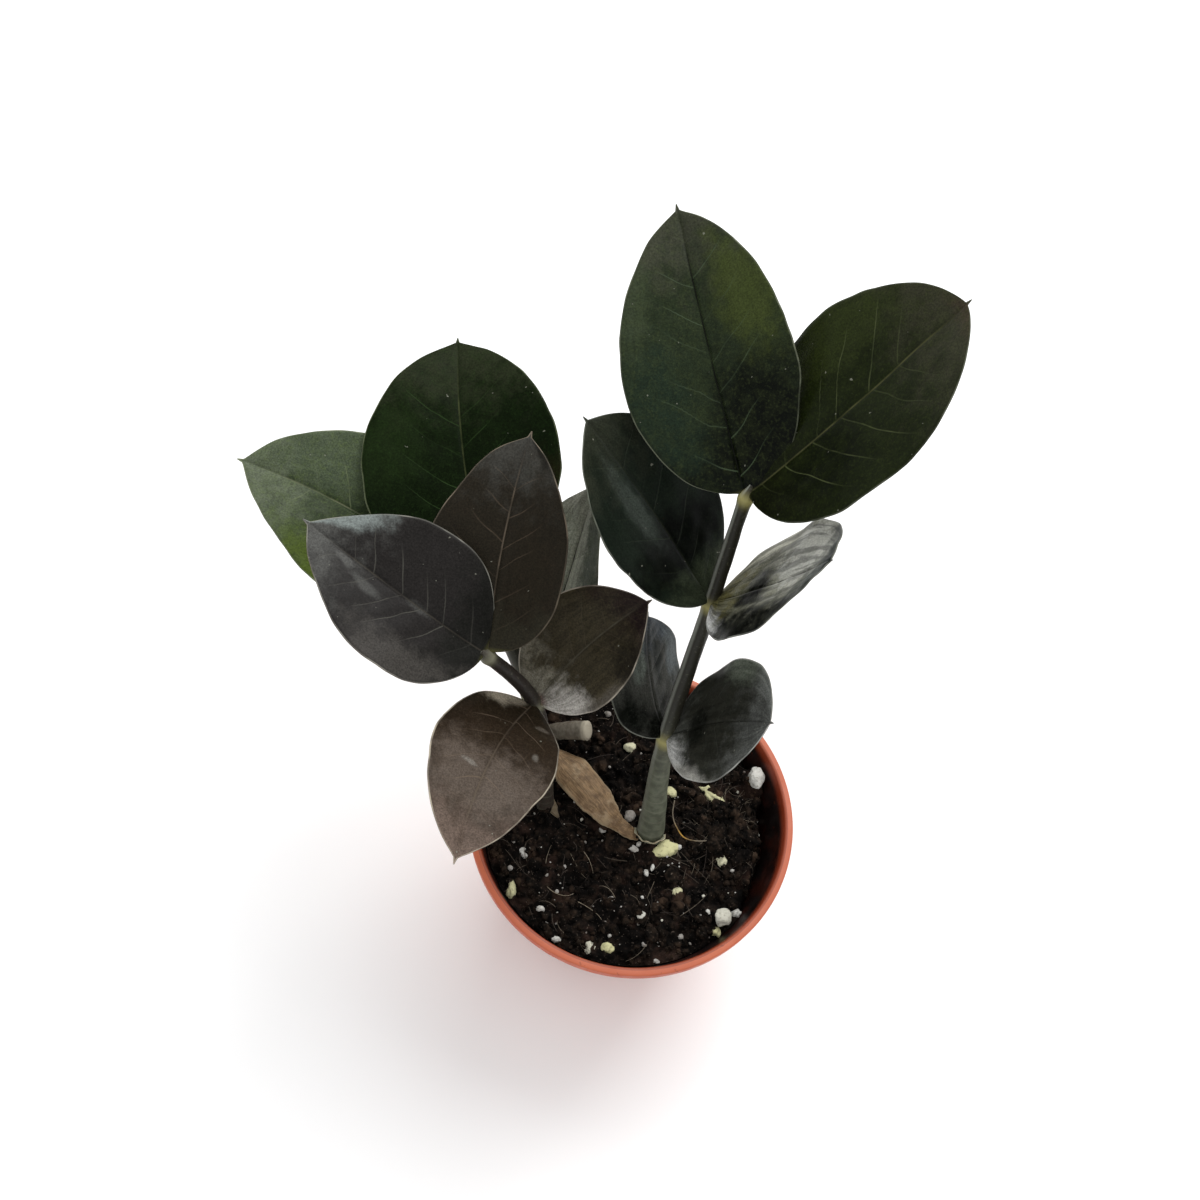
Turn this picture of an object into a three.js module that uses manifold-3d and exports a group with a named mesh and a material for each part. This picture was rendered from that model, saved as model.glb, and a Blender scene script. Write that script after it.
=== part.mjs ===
// Young dark-leaved zz plant in a small round plastic nursery pot.
// Millimetres, +Z up. The origin is the centre of the pot's underside.
// The plant's front, with the leaflet that hangs over the rim, faces -Y.
// Three leafy fronds, the stump of an old one and a dry sheath stand in one pot of mix.

import * as THREE from "three";
import { mergeVertices } from "three/addons/utils/BufferGeometryUtils.js";
import Module from "manifold-3d";

const wasm = await Module();
wasm.setup();

// Driving sizes of the pot

const potHeight = 62;
const rimRadius = 45;
const rimFlat = 2.1;
const lipHeight = 4;
const lipReach = 1.7;
const lipTaper = 0.3;
const wallThickness = 1.25;
const footRadius = 27;
const footWidth = 5;
const recessHeight = 1.8;
const floorThickness = 1.8;
const centrePadRadius = 10;
const edgeBreak = 0.6;
const drainHoleCount = 8;
const drainHoleRadius = 2.4;
const drainCircleRadius = 15.5;
const potSides = 48;

// Driving sizes of the potting mix

const fitGap = 0.35;
const mixLevel = 54;
const mixTilt = 0.04;
const shrinkDrop = 7;
const shrinkWidth = 4;
const shrinkHeading = -4;
const shrinkSpread = 56;
const mixRings = 10;
const mixSides = 40;

// Driving sizes of blades and stalks

const bladeThickness = 0.8;
const keelDepth = 1.0;
const keelReach = 0.7;
const stalkHalfWidth = 1.1;
const stalkShare = 0.02;
const tipHalfWidth = 0.35;
const waveHeight = 0.6;
const wavesAlong = 2.4;
const bladeRows = 12;
const bladeColumns = [-1, -0.62, -0.16, 0, 0.16, 0.62, 1];
const stemSides = 10;
const ringsPerSpan = 4;
const nodeSwelling = 0.25;

const radians = THREE.MathUtils.degToRad;
const clamp = THREE.MathUtils.clamp;

// Materials

function coat(color, roughness) {
  return new THREE.MeshStandardMaterial({ color: new THREE.Color(...color), roughness, metalness: 0 });
}

const terracottaPlastic = coat([0.52, 0.15, 0.07], 0.55);
const pottingMix = coat([0.035, 0.026, 0.02], 0.95);
const darkLeaf = coat([0.03, 0.04, 0.028], 0.3);
const purpleLeaf = coat([0.05, 0.04, 0.036], 0.35);
const greenLeaf = coat([0.035, 0.055, 0.03], 0.3);
const dryPaper = coat([0.3, 0.2, 0.11], 0.9);
const greyStalk = coat([0.2, 0.19, 0.15], 0.7);

// Solids: closed meshes in, closed meshes out

function toSolid(geometry) {
  const bare = geometry.index ? geometry.toNonIndexed() : geometry.clone();
  bare.deleteAttribute("normal");
  bare.deleteAttribute("uv");
  const merged = mergeVertices(bare, 1e-4);
  return new wasm.Manifold(new wasm.Mesh({
    numProp: 3,
    vertProperties: new Float32Array(merged.attributes.position.array),
    triVerts: new Uint32Array(merged.index.array),
  }));
}

function toGeometry(solid) {
  const mesh = solid.getMesh();
  const geometry = new THREE.BufferGeometry();
  geometry.setAttribute("position", new THREE.BufferAttribute(new Float32Array(mesh.vertProperties), 3));
  geometry.setIndex(new THREE.BufferAttribute(new Uint32Array(mesh.triVerts), 1));
  geometry.computeVertexNormals();
  return geometry;
}

function join(solids) {
  return solids.reduce((whole, piece) => whole.add(piece));
}

function fromCorners(corners, faces) {
  const places = corners.flatMap((corner) => corner.toArray());
  const geometry = new THREE.BufferGeometry();
  geometry.setAttribute("position", new THREE.Float32BufferAttribute(places, 3));
  geometry.setIndex(faces);
  return geometry;
}

// A sheet given by the points of its upper and lower face, closed round its edge
function closedGrid(upper, lower) {
  const rows = upper.length;
  const columns = upper[0].length;
  const lastRow = rows - 1;
  const lastColumn = columns - 1;
  const corners = [...upper.flat(), ...lower.flat()];
  const faces = [];
  const top = (row, column) => row * columns + column;
  const under = (row, column) => rows * columns + top(row, column);
  const quad = (a, b, c, d) => faces.push(a, b, c, a, c, d);
  const ends = (row, column) => [top(row, column), under(row, column)];
  for (let row = 0; row < lastRow; row++) {
    for (let column = 0; column < lastColumn; column++) {
      quad(top(row, column), top(row, column + 1), top(row + 1, column + 1), top(row + 1, column));
      faces.push(under(row, column), under(row + 1, column + 1), under(row, column + 1));
      faces.push(under(row, column), under(row + 1, column), under(row + 1, column + 1));
    }
    quad(...ends(row, 0).reverse(), ...ends(row + 1, 0));
    quad(...ends(row, lastColumn), ...ends(row + 1, lastColumn).reverse());
  }
  for (let column = 0; column < lastColumn; column++) {
    quad(...ends(0, column), ...ends(0, column + 1).reverse());
    quad(...ends(lastRow, column).reverse(), ...ends(lastRow, column + 1));
  }
  return fromCorners(corners, faces);
}

// Rings of points, one after another, closed by a fan at each end
function closedRings(rings) {
  const sides = rings[0].length;
  const corners = rings.flat();
  const faces = [];
  for (let ring = 0; ring < rings.length - 1; ring++) {
    for (let side = 0; side < sides; side++) {
      const a = ring * sides + side;
      const b = ring * sides + (side + 1) % sides;
      faces.push(a, b, b + sides, a, b + sides, a + sides);
    }
  }
  for (const [ring, turned] of [[0, true], [rings.length - 1, false]]) {
    const centre = new THREE.Vector3();
    rings[ring].forEach((p) => centre.addScaledVector(p, 1 / sides));
    corners.push(centre);
    for (let side = 0; side < sides; side++) {
      const a = ring * sides + side;
      const b = ring * sides + (side + 1) % sides;
      faces.push(...(turned ? [b, a] : [a, b]), corners.length - 1);
    }
  }
  return fromCorners(corners, faces);
}

// Stems: a round section along a smooth line through the given points

function stem({ points, radii, widened = 0 }) {
  const line = new THREE.CatmullRomCurve3(points.map((p) => new THREE.Vector3(...p)));
  const spans = points.length - 1;
  const across = new THREE.Vector3(1, 0, 0);
  const rings = [];
  for (let step = 0; step <= spans * ringsPerSpan; step++) {
    const place = step / ringsPerSpan;
    const centre = line.getPoint(place / spans);
    const along = line.getTangent(place / spans);
    const first = across.clone().addScaledVector(along, -across.dot(along)).normalize();
    const second = along.clone().cross(first);
    const before = Math.min(Math.floor(place), spans - 1);
    const radius = THREE.MathUtils.lerp(radii[before], radii[before + 1], place - before) + widened;
    const isNode = step % ringsPerSpan === 0 && before > 1 && step < spans * ringsPerSpan;
    const size = radius + (isNode ? nodeSwelling : 0);
    if (step === 0) {
      centre.addScaledVector(along, -widened);
    }
    rings.push(Array.from({ length: stemSides }, (_, side) => {
      const angle = (2 * Math.PI * side) / stemSides;
      return centre.clone()
        .addScaledVector(first, size * Math.cos(angle))
        .addScaledVector(second, size * Math.sin(angle));
    }));
  }
  return toSolid(closedRings(rings));
}

// Leaflets: an egg-shaped blade that grows from a node of its frond.
// heading turns from +X towards +Y, rise is above level, roll is about the midrib.
// The midrib bends down by arch and aside by sweep, and the halves rise by fold.
// Towards its margin the blade waves gently up and down.

function halfWidth(share, width, baseTaper, tipTaper) {
  const along = clamp((share - stalkShare) / (1 - stalkShare), 0, 1);
  const peak = baseTaper / (baseTaper + tipTaper);
  const tallest = peak ** baseTaper * (1 - peak) ** tipTaper;
  const egg = (along ** baseTaper * (1 - along) ** tipTaper) / tallest;
  return Math.max((width / 2) * egg, stalkHalfWidth * (1 - share), tipHalfWidth);
}

function leaflet(base, pose) {
  const heading = radians(pose.heading);
  const rise = radians(pose.rise);
  const roll = radians(pose.roll);
  const forward = new THREE.Vector3(
    Math.cos(rise) * Math.cos(heading), Math.cos(rise) * Math.sin(heading), Math.sin(rise));
  const level = new THREE.Vector3(-Math.sin(heading), Math.cos(heading), 0);
  const left = level.clone().multiplyScalar(Math.cos(roll))
    .addScaledVector(forward.clone().cross(level), Math.sin(roll));
  const face = forward.clone().cross(left);
  const upper = [];
  const lower = [];
  const centre = new THREE.Vector3(...base);
  const direction = (share) => {
    const bend = radians(pose.arch) * share;
    const side = radians(pose.sweep) * share;
    return forward.clone().multiplyScalar(Math.cos(bend) * Math.cos(side))
      .addScaledVector(left, Math.cos(bend) * Math.sin(side))
      .addScaledVector(face, -Math.sin(bend));
  };
  let lastShare = 0;
  for (let row = 0; row <= bladeRows; row++) {
    const share = (1 - Math.cos((Math.PI * row) / bladeRows)) / 2;
    centre.addScaledVector(direction((share + lastShare) / 2), pose.length * (share - lastShare));
    lastShare = share;
    const side = radians(pose.sweep) * share;
    const aside = forward.clone().multiplyScalar(-Math.sin(side)).addScaledVector(left, Math.cos(side));
    const outward = direction(share).cross(aside);
    const half = halfWidth(share, pose.width, pose.baseTaper, pose.tipTaper);
    const keel = keelDepth * Math.max(0, 1 - share / keelReach);
    const place = (column, lift) => {
      const reach = Math.abs(column) * half;
      const turns = 2 * Math.PI * wavesAlong * share + heading + Math.sign(column);
      const wave = column ** 2 * Math.sin(Math.PI * share) * Math.sin(turns);
      return centre.clone()
        .addScaledVector(aside, -column * half * Math.cos(radians(pose.fold)))
        .addScaledVector(outward, reach * Math.sin(radians(pose.fold)) + waveHeight * wave + lift);
    };
    const rib = (column) => (Math.abs(column) < 0.2 ? keel * (1 - Math.abs(column) * 3) : 0);
    upper.push(bladeColumns.map((column) => place(column, bladeThickness / 2)));
    lower.push(bladeColumns.map((column) => place(column, -bladeThickness / 2 - rib(column))));
  }
  return toSolid(closedGrid(upper, lower));
}

// Fronds: where each stem runs, from its buried foot to the bud at its end,
// how thick it is at each of those places, and the leaflets on its nodes

const rightFrond = {
  points: [[6.5, -8, 36], [6.3, -1.4, 54], [3.9, 12.8, 87], [6.7, 35.6, 122], [8.2, 49, 152],
    [8.7, 50.6, 155.5]],
  radii: [3.3, 3.7, 2.1, 1.85, 1.6, 0.5],
  leaflets: [
    { node: 4, heading: 124, rise: 35, roll: -33, length: 72, width: 43.5,
      arch: 19, sweep: 1, fold: 18, baseTaper: 0.56, tipTaper: 0.76 },
    { node: 4, heading: 26, rise: 57, roll: -5, length: 71, width: 48.5,
      arch: 5, sweep: 9, fold: 8, baseTaper: 0.62, tipTaper: 0.58 },
    { node: 3, heading: 152, rise: 47, roll: 4, length: 60, width: 38.5,
      arch: 11, sweep: 2, fold: 9, baseTaper: 0.72, tipTaper: 0.69 },
    { node: 3, heading: -19, rise: 59, roll: -1, length: 57.5, width: 36,
      arch: -14, sweep: -11, fold: 4, baseTaper: 0.63, tipTaper: 0.59 },
    { node: 2, heading: 136, rise: 43, roll: 21, length: 36.5, width: 29,
      arch: -18, sweep: -18, fold: -6, baseTaper: 0.75, tipTaper: 0.73 },
    { node: 2, heading: -3, rise: 65, roll: 0, length: 45.5, width: 33,
      arch: 10, sweep: -17, fold: 4, baseTaper: 0.7, tipTaper: 0.5 },
  ],
};

const frontLeftFrond = {
  points: [[-20.5, -5, 38], [-23.5, -0.8, 54], [-31.6, 10.5, 96], [-44.7, 9.5, 120], [-46.1, 9.2, 122.2]],
  radii: [2.2, 2.5, 1.9, 1.7, 0.5],
  leaflets: [
    { node: 3, heading: 171, rise: 32, roll: -11, length: 56, width: 38.5,
      arch: 29, sweep: -14, fold: 13, baseTaper: 0.63, tipTaper: 0.91 },
    { node: 3, heading: 99, rise: 32, roll: -18, length: 56.5, width: 36,
      arch: 15, sweep: -10, fold: 11, baseTaper: 0.45, tipTaper: 0.73 },
    { node: 2, heading: 245, rise: 40, roll: 0, length: 60, width: 31,
      arch: 33, sweep: 30, fold: 9, baseTaper: 0.73, tipTaper: 0.8 },
    { node: 2, heading: 57, rise: 44, roll: 1, length: 44, width: 30,
      arch: -5, sweep: -23, fold: 13, baseTaper: 0.56, tipTaper: 0.69 },
  ],
};

const backLeftFrond = {
  points: [[-27, 8.5, 38], [-31, 13.1, 54], [-34.3, 20.3, 80], [-46.6, 27.4, 108], [-48.2, 28.4, 110.5]],
  radii: [2.2, 2.4, 2.0, 1.7, 0.5],
  leaflets: [
    { node: 3, heading: 149, rise: 8, roll: -8, length: 78, width: 46.5,
      arch: -6, sweep: 27, fold: 9, baseTaper: 0.57, tipTaper: 0.76 },
    { node: 3, heading: 121, rise: 28, roll: -20, length: 77, width: 53,
      arch: 30, sweep: -11, fold: 12, baseTaper: 0.78, tipTaper: 0.76 },
    { node: 2, heading: 80, rise: 46, roll: -42, length: 62, width: 37.5,
      arch: 0, sweep: 2, fold: 13, baseTaper: 0.56, tipTaper: 0.8 },
  ],
};

function frond(plan) {
  const blades = plan.leaflets.map((pose) => leaflet(plan.points[pose.node], pose));
  return join([stem(plan), ...blades]);
}

// The stump of an old frond, cut off short and leaning to the right

const stump = {
  points: [[-27.5, 18, 44], [-27.6, 20.9, 53], [-23, 21.1, 59], [-16.6, 20.9, 63]],
  radii: [2.3, 2.6, 2.6, 2.5],
};

// The dry sheath: a papery gutter that comes up beside the thickest stem and lies over

const sheath = {
  points: [[1.7, -5.4, 48], [0.9, -4.1, 54.5], [-4.2, -0.6, 58.8], [-11.5, 4.8, 60.2], [-19, 10.4, 60],
    [-25.2, 14.9, 58.6]],
  halfWidths: [1.1, 1.6, 3.2, 4.4, 4.2, 0.7],
  hang: [0.2, 0.5, 1.3, 1.9, 1.8, 0.2],
  rowsPerSpan: 3,
  columns: [-1, -0.6, -0.2, 0.2, 0.6, 1],
};

function sheathSolid(widened) {
  const line = new THREE.CatmullRomCurve3(sheath.points.map((p) => new THREE.Vector3(...p)));
  const spans = sheath.points.length - 1;
  const upper = [];
  const lower = [];
  for (let step = 0; step <= spans * sheath.rowsPerSpan; step++) {
    const place = step / sheath.rowsPerSpan;
    const before = Math.min(Math.floor(place), spans - 1);
    const between = (values) => THREE.MathUtils.lerp(values[before], values[before + 1], place - before);
    const centre = line.getPoint(place / spans);
    const along = line.getTangent(place / spans);
    const aside = new THREE.Vector3(along.y, -along.x, 0).normalize();
    const outward = aside.clone().cross(along);
    if (step === 0) {
      centre.addScaledVector(along, -widened);
    }
    const half = between(sheath.halfWidths) + widened;
    const point = (column, lift) => centre.clone()
      .addScaledVector(aside, column * half)
      .addScaledVector(outward, lift - between(sheath.hang) * column * column);
    upper.push(sheath.columns.map((column) => point(column, bladeThickness / 2 + widened)));
    lower.push(sheath.columns.map((column) => point(column, -bladeThickness / 2 - widened)));
  }
  return toSolid(closedGrid(upper, lower));
}

// The pot: one turned section, with drain holes cut through its raised floor

const lipFoot = potHeight - lipHeight;
const lipFootRadius = rimRadius - lipTaper;
const wallTopRadius = lipFootRadius - lipReach;
const wallSlope = (wallTopRadius - footRadius) / lipFoot;
const innerFloor = recessHeight + floorThickness;

function wallInside(height) {
  return footRadius + wallSlope * height - wallThickness;
}

function potSolid() {
  const section = [
    [0, 0],
    [centrePadRadius, 0],
    [centrePadRadius + edgeBreak, recessHeight],
    [footRadius - footWidth - edgeBreak, recessHeight],
    [footRadius - footWidth, 0],
    [footRadius - edgeBreak, 0],
    [footRadius, edgeBreak],
    [wallTopRadius, lipFoot],
    [lipFootRadius, lipFoot + edgeBreak],
    [rimRadius, potHeight - edgeBreak],
    [rimRadius - edgeBreak / 2, potHeight],
    [rimRadius - rimFlat, potHeight],
    [rimRadius - rimFlat - edgeBreak / 2, potHeight - edgeBreak],
    [wallInside(lipFoot), lipFoot],
    [wallInside(innerFloor), innerFloor],
    [0, innerFloor],
  ];
  const turned = new THREE.LatheGeometry(section.map(([r, z]) => new THREE.Vector2(r, z)), potSides);
  turned.rotateX(Math.PI / 2);
  const pot = toSolid(turned);
  const holes = Array.from({ length: drainHoleCount }, (_, hole) => {
    const drill = new THREE.CylinderGeometry(drainHoleRadius, drainHoleRadius, 3 * innerFloor, 8);
    drill.rotateX(Math.PI / 2);
    drill.translate(drainCircleRadius, 0, innerFloor / 2);
    drill.rotateZ((2 * Math.PI * hole) / drainHoleCount);
    return toSolid(drill);
  });
  return pot.subtract(join(holes));
}

// The potting mix: a lumpy top that has shrunk from the pot's wall on the right,
// with the larger perlite grains fused to it and a plain hole for each stem

const grains = [
  { at: [32.7, 17.8], size: [2.3, 2.3, 2], turn: 0 },
  { at: [21.6, 12.2], size: [3.4, 1.5, 1.4], turn: -30 },
  { at: [12.2, -7.2], size: [3.4, 2.5, 2], turn: 15 },
  { at: [27.4, -5.1], size: [1.7, 2.3, 1.5], turn: 20 },
  { at: [29.9, -21.1], size: [2.2, 2.2, 1.8], turn: 0 },
  { at: [-3.6, 22.6], size: [1.7, 1.4, 1.4], turn: 0 },
];
const mound = { at: [26, 2], width: 8, height: 1.6 };

function mixHeight(x, y) {
  const radius = Math.hypot(x, y);
  const lumps = 0.5 * Math.sin(0.31 * x + 1.3) * Math.cos(0.27 * y) + 0.35 * Math.sin(0.63 * y - 0.41 * x);
  const fromMound = Math.hypot(x - mound.at[0], y - mound.at[1]) / mound.width;
  const swell = mound.height * Math.exp(-fromMound * fromMound);
  const heading = THREE.MathUtils.radToDeg(Math.atan2(y, x));
  const away = Math.abs(THREE.MathUtils.euclideanModulo(heading - shrinkHeading + 180, 360) - 180);
  const onRight = THREE.MathUtils.smoothstep(shrinkSpread - away, 0, 30);
  const edge = wallInside(mixLevel) - fitGap;
  const drop = shrinkDrop * onRight * THREE.MathUtils.smoothstep(radius, edge - shrinkWidth, edge - 1);
  return mixLevel - mixTilt * x + lumps + swell - drop;
}

// A ring of points on the mix, kept clear of the pot's wall at its own height
function mixRing(radius, height) {
  return Array.from({ length: mixSides }, (_, side) => {
    const angle = (2 * Math.PI * side) / mixSides;
    const z = height(radius * Math.cos(angle), radius * Math.sin(angle));
    const reach = Math.min(radius, wallInside(z) - fitGap);
    return new THREE.Vector3(reach * Math.cos(angle), reach * Math.sin(angle), z);
  });
}

function mixSolid() {
  const bottom = innerFloor + fitGap;
  const shoulder = mixLevel - shrinkDrop - 3;
  const topRadius = wallInside(mixLevel + 2) - fitGap;
  const level = (height) => () => height;
  const rings = [
    mixRing(footRadius / 2, level(bottom)),
    mixRing(footRadius, level(bottom)),
    mixRing(topRadius, level(shoulder)),
  ];
  for (let ring = 0; ring < mixRings; ring++) {
    const share = Math.sin((Math.PI / 2) * (1 - ring / mixRings));
    rings.push(mixRing(topRadius * share, mixHeight));
  }
  const lumps = grains.map(({ at, size, turn }) => {
    const grain = new THREE.IcosahedronGeometry(1, 1);
    grain.scale(...size);
    grain.rotateZ(radians(turn));
    grain.translate(at[0], at[1], mixHeight(...at) + 0.2 * size[2]);
    return toSolid(grain);
  });
  const filled = join([toSolid(closedRings(rings)), ...lumps]);
  const stems = [rightFrond, frontLeftFrond, backLeftFrond, stump].map(
    ({ points, radii }) => stem({ points, radii, widened: fitGap }));
  return filled.subtract(join([...stems, sheathSolid(fitGap)]));
}

// The finished plant

const plant = new THREE.Group();

function addPiece(name, solid, material) {
  const mesh = new THREE.Mesh(toGeometry(solid), material);
  mesh.name = name;
  plant.add(mesh);
}

addPiece("pot", potSolid(), terracottaPlastic);
addPiece("potting_mix", mixSolid(), pottingMix);
addPiece("frond_right", frond(rightFrond), darkLeaf);
addPiece("frond_front_left", frond(frontLeftFrond), purpleLeaf);
addPiece("frond_back_left", frond(backLeftFrond), greenLeaf);
addPiece("cut_stump", stem(stump), greyStalk);
addPiece("dry_sheath", sheathSolid(0), dryPaper);

export default plant;
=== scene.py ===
"""Young dark-leaved zz plant in a small round nursery pot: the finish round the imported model.

Metres, +Z up, the origin at the centre of the pot's underside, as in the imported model.
Sizes in each section are in millimetres and degrees, and meshes are scaled to metres once.
Every finished piece is a surface worked out as arrays, closed and facing outwards.
"""
import itertools
import math

import bpy
import numpy as np
from mathutils import Matrix, Vector


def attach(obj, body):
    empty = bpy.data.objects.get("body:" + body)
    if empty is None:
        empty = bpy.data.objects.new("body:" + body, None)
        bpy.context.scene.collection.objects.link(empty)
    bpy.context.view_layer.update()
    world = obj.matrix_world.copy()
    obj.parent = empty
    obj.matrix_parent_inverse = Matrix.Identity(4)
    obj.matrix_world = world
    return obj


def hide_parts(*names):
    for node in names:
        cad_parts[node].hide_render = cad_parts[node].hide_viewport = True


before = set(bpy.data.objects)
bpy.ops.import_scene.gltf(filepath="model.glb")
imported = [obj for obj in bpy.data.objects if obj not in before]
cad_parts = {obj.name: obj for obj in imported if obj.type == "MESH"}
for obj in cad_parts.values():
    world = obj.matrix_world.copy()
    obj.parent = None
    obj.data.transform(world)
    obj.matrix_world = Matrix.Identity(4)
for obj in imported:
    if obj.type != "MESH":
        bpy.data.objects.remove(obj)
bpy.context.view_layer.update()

# Camera
# It stands above and in front of the pot, looks steeply down on the leaves and is
# turned a little about its own line of sight.

mm = 0.001
camera_place = np.array([-20.76, -150.47, 449.91])
camera_below_level = 61.15
camera_roll = 11.96
camera_lens = 45
camera_sensor_width = 36

camera_data = bpy.data.cameras.new("camera")
camera_data.lens = camera_lens
camera_data.sensor_width = camera_sensor_width
camera = bpy.data.objects.new("camera", camera_data)
bpy.context.scene.collection.objects.link(camera)
camera.matrix_world = (
    Matrix.Translation(camera_place * mm)
    @ Matrix.Rotation(math.radians(90 - camera_below_level), 4, "X")
    @ Matrix.Rotation(math.radians(camera_roll), 4, "Z")
)
bpy.context.scene.camera = camera

# Pot
# A thin nursery pot moulded in terracotta-coloured plastic. The wall tapers down to
# a raised foot, a short lip stiffens the rim, and eight round holes drain the floor.

pot_height = 62
rim_radius = 45
rim_flat = 2.1
lip_height = 4
lip_reach = 1.7
lip_taper = 0.3
wall_thickness = 1.25
foot_radius = 27
foot_width = 5
recess_height = 1.8
floor_thickness = 1.8
centre_pad_radius = 10
edge_break = 0.6
drain_holes = 8
drain_hole_radius = 2.4
drain_circle_radius = 15.5
pot_sides = 224
drill_sides = 40
sharp_angle = 40

lip_foot = pot_height - lip_height
lip_foot_radius = rim_radius - lip_taper
wall_top_radius = lip_foot_radius - lip_reach
wall_slope = (wall_top_radius - foot_radius) / lip_foot
inner_floor = recess_height + floor_thickness


def wall_inside(height):
    """The inner radius of the pot's wall: foot radius + slope times height - thickness."""
    return foot_radius + wall_slope * height - wall_thickness


def unit(vectors):
    """Vectors divided by their own lengths."""
    return vectors / np.linalg.norm(vectors, axis=-1, keepdims=True)


def eased(corners, reach, steps=5):
    """An outline with its corners rounded.

    Each corner c gives way to the curve (1-t)^2 a + 2t(1-t) c + t^2 b, where a and b lie
    back along its two edges by the reach, or by under half of a shorter edge.
    """
    corners = np.array(corners, float)
    middle = corners[1:-1]
    t = np.linspace(0, 1, steps)[:, None, None]
    ends = []
    for neighbour in (corners[:-2], corners[2:]):
        edge = np.linalg.norm(neighbour - middle, axis=1, keepdims=True)
        ends.append(middle + unit(neighbour - middle) * np.minimum(reach, 0.45 * edge))
    curves = (1 - t) ** 2 * ends[0] + 2 * t * (1 - t) * middle + t**2 * ends[1]
    return np.concatenate([corners[:1], curves.transpose(1, 0, 2).reshape(-1, 2), corners[-1:]])


def joined(*parts):
    """Arrays of matching layouts, such as x, y and z, put together along a last axis."""
    return np.stack(np.broadcast_arrays(*parts), -1)


def turned(outline, sides):
    """Rings of an outline of (radius, height) carried round the upright axis."""
    angle = np.linspace(0, 2 * np.pi, sides, endpoint=False)
    radius, height = np.array(outline, float).T[:, :, None]
    return joined(radius * np.cos(angle), radius * np.sin(angle), height)


def skin(name, rings, marks=None, smooth=True):
    """A closed mesh over bodies of rings of points, given in millimetres as (body, ring, side, xyz).

    Neighbouring rings are joined by four-sided faces, and each end ring by a fan to its
    own middle point. Marks are values of the same layout, kept as attributes of the mesh.
    """
    bodies, count, sides = rings.shape[:3]

    def laid_out(values):
        """Each body's values in a row, with those of its two end middles after them."""
        middles = values[:, [0, -1]].mean(axis=2)
        return np.concatenate([values.reshape(bodies, count * sides, 3), middles], 1).reshape(-1, 3)

    ring, side = np.meshgrid(np.arange(count - 1), np.arange(sides), indexing="ij")
    here = ring * sides + side
    beside = ring * sides + (side + 1) % sides
    quads = np.stack([here, beside, beside + sides, here + sides], -1).reshape(-1, 4)
    around = np.arange(sides)
    after = (around + 1) % sides
    last = (count - 1) * sides
    foot = np.stack([after, around, np.full(sides, count * sides)], -1)
    head = np.stack([last + around, last + after, np.full(sides, count * sides + 1)], -1)
    shift = np.arange(bodies)[:, None, None] * (count * sides + 2)
    quads = (quads + shift).reshape(-1, 4)
    fans = (np.concatenate([foot, head]) + shift).reshape(-1, 3)
    mesh = bpy.data.meshes.new(name)
    mesh.from_pydata(laid_out(rings) * mm, [], quads.tolist() + fans.tolist())
    for label, values in (marks or {}).items():
        kept = mesh.attributes.new(label, "FLOAT_VECTOR", "POINT")
        kept.data.foreach_set("vector", laid_out(values).astype(np.float32).ravel())
    mesh.polygons.foreach_set("use_smooth", np.full(len(mesh.polygons), smooth))
    mesh.update()
    return mesh


def placed(name, mesh, *finishes):
    """A new piece of the plant from its mesh and its finishes."""
    thing = bpy.data.objects.new(name, mesh)
    bpy.context.scene.collection.objects.link(thing)
    for finish in finishes:
        thing.data.materials.append(finish)
    return thing


def fitted(piece, node=None):
    """Lets a piece ride on the plant's one body, and stand for the node it replaces."""
    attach(piece, "root")
    if node:
        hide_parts(node)


def drilled(piece, drills):
    """The piece with the drills' volume cut away by a Boolean, which is then applied."""
    cut = piece.modifiers.new("holes", "BOOLEAN")
    cut.object = drills
    cut.solver = "EXACT"
    seen = piece.evaluated_get(bpy.context.evaluated_depsgraph_get())
    mesh = bpy.data.meshes.new_from_object(seen)
    piece.modifiers.clear()
    piece.data = mesh
    bpy.data.objects.remove(drills)
    mesh.set_sharp_from_angle(angle=math.radians(sharp_angle))
    return piece


over_light = 1.3


def paint(red, green, blue):
    """A colour as the camera shows it, 0 to 255, made linear by the sRGB rule.

    It is held back by as much as the studio is lit above the light that shows white as white.
    """
    shares = np.array([red, green, blue]) / 255
    linear = np.where(shares <= 0.04045, shares / 12.92, ((shares + 0.055) / 1.055) ** 2.4)
    return (*(linear / over_light).tolist(), 1.0)


def shade(tree, kind, feeds=None, **settings):
    """Adds a shader node, sets it up, and links or sets its inputs by name or number."""
    made = tree.nodes.new("ShaderNode" + kind)
    for setting, value in settings.items():
        setattr(made, setting, value)
    for socket, value in (feeds or {}).items():
        if isinstance(value, bpy.types.NodeSocket):
            tree.links.new(value, made.inputs[socket])
        else:
            made.inputs[socket].default_value = value
    return made.outputs


def reckoned(tree, rule, *values):
    """The result of one rule of arithmetic on one to three values."""
    return shade(tree, "Math", dict(enumerate(values)), operation=rule)[0]


def times(tree, first, *others):
    """Values multiplied together."""
    for other in others:
        first = reckoned(tree, "MULTIPLY", first, other)
    return first


def eased_step(tree, value, low, high, start=0.0, end=1.0):
    """From start to end as a value goes from low to high, by 3t^2 - 2t^3."""
    feeds = {"Value": value, "From Min": low, "From Max": high, "To Min": start, "To Max": end}
    return shade(tree, "MapRange", feeds, interpolation_type="SMOOTHSTEP")["Result"]


def mingled(tree, share, first, second, way="MIX"):
    """Two colours mixed by a share."""
    feeds = {0: share, 6: first, 7: second}
    return shade(tree, "Mix", feeds, data_type="RGBA", blend_type=way)[2]


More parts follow.
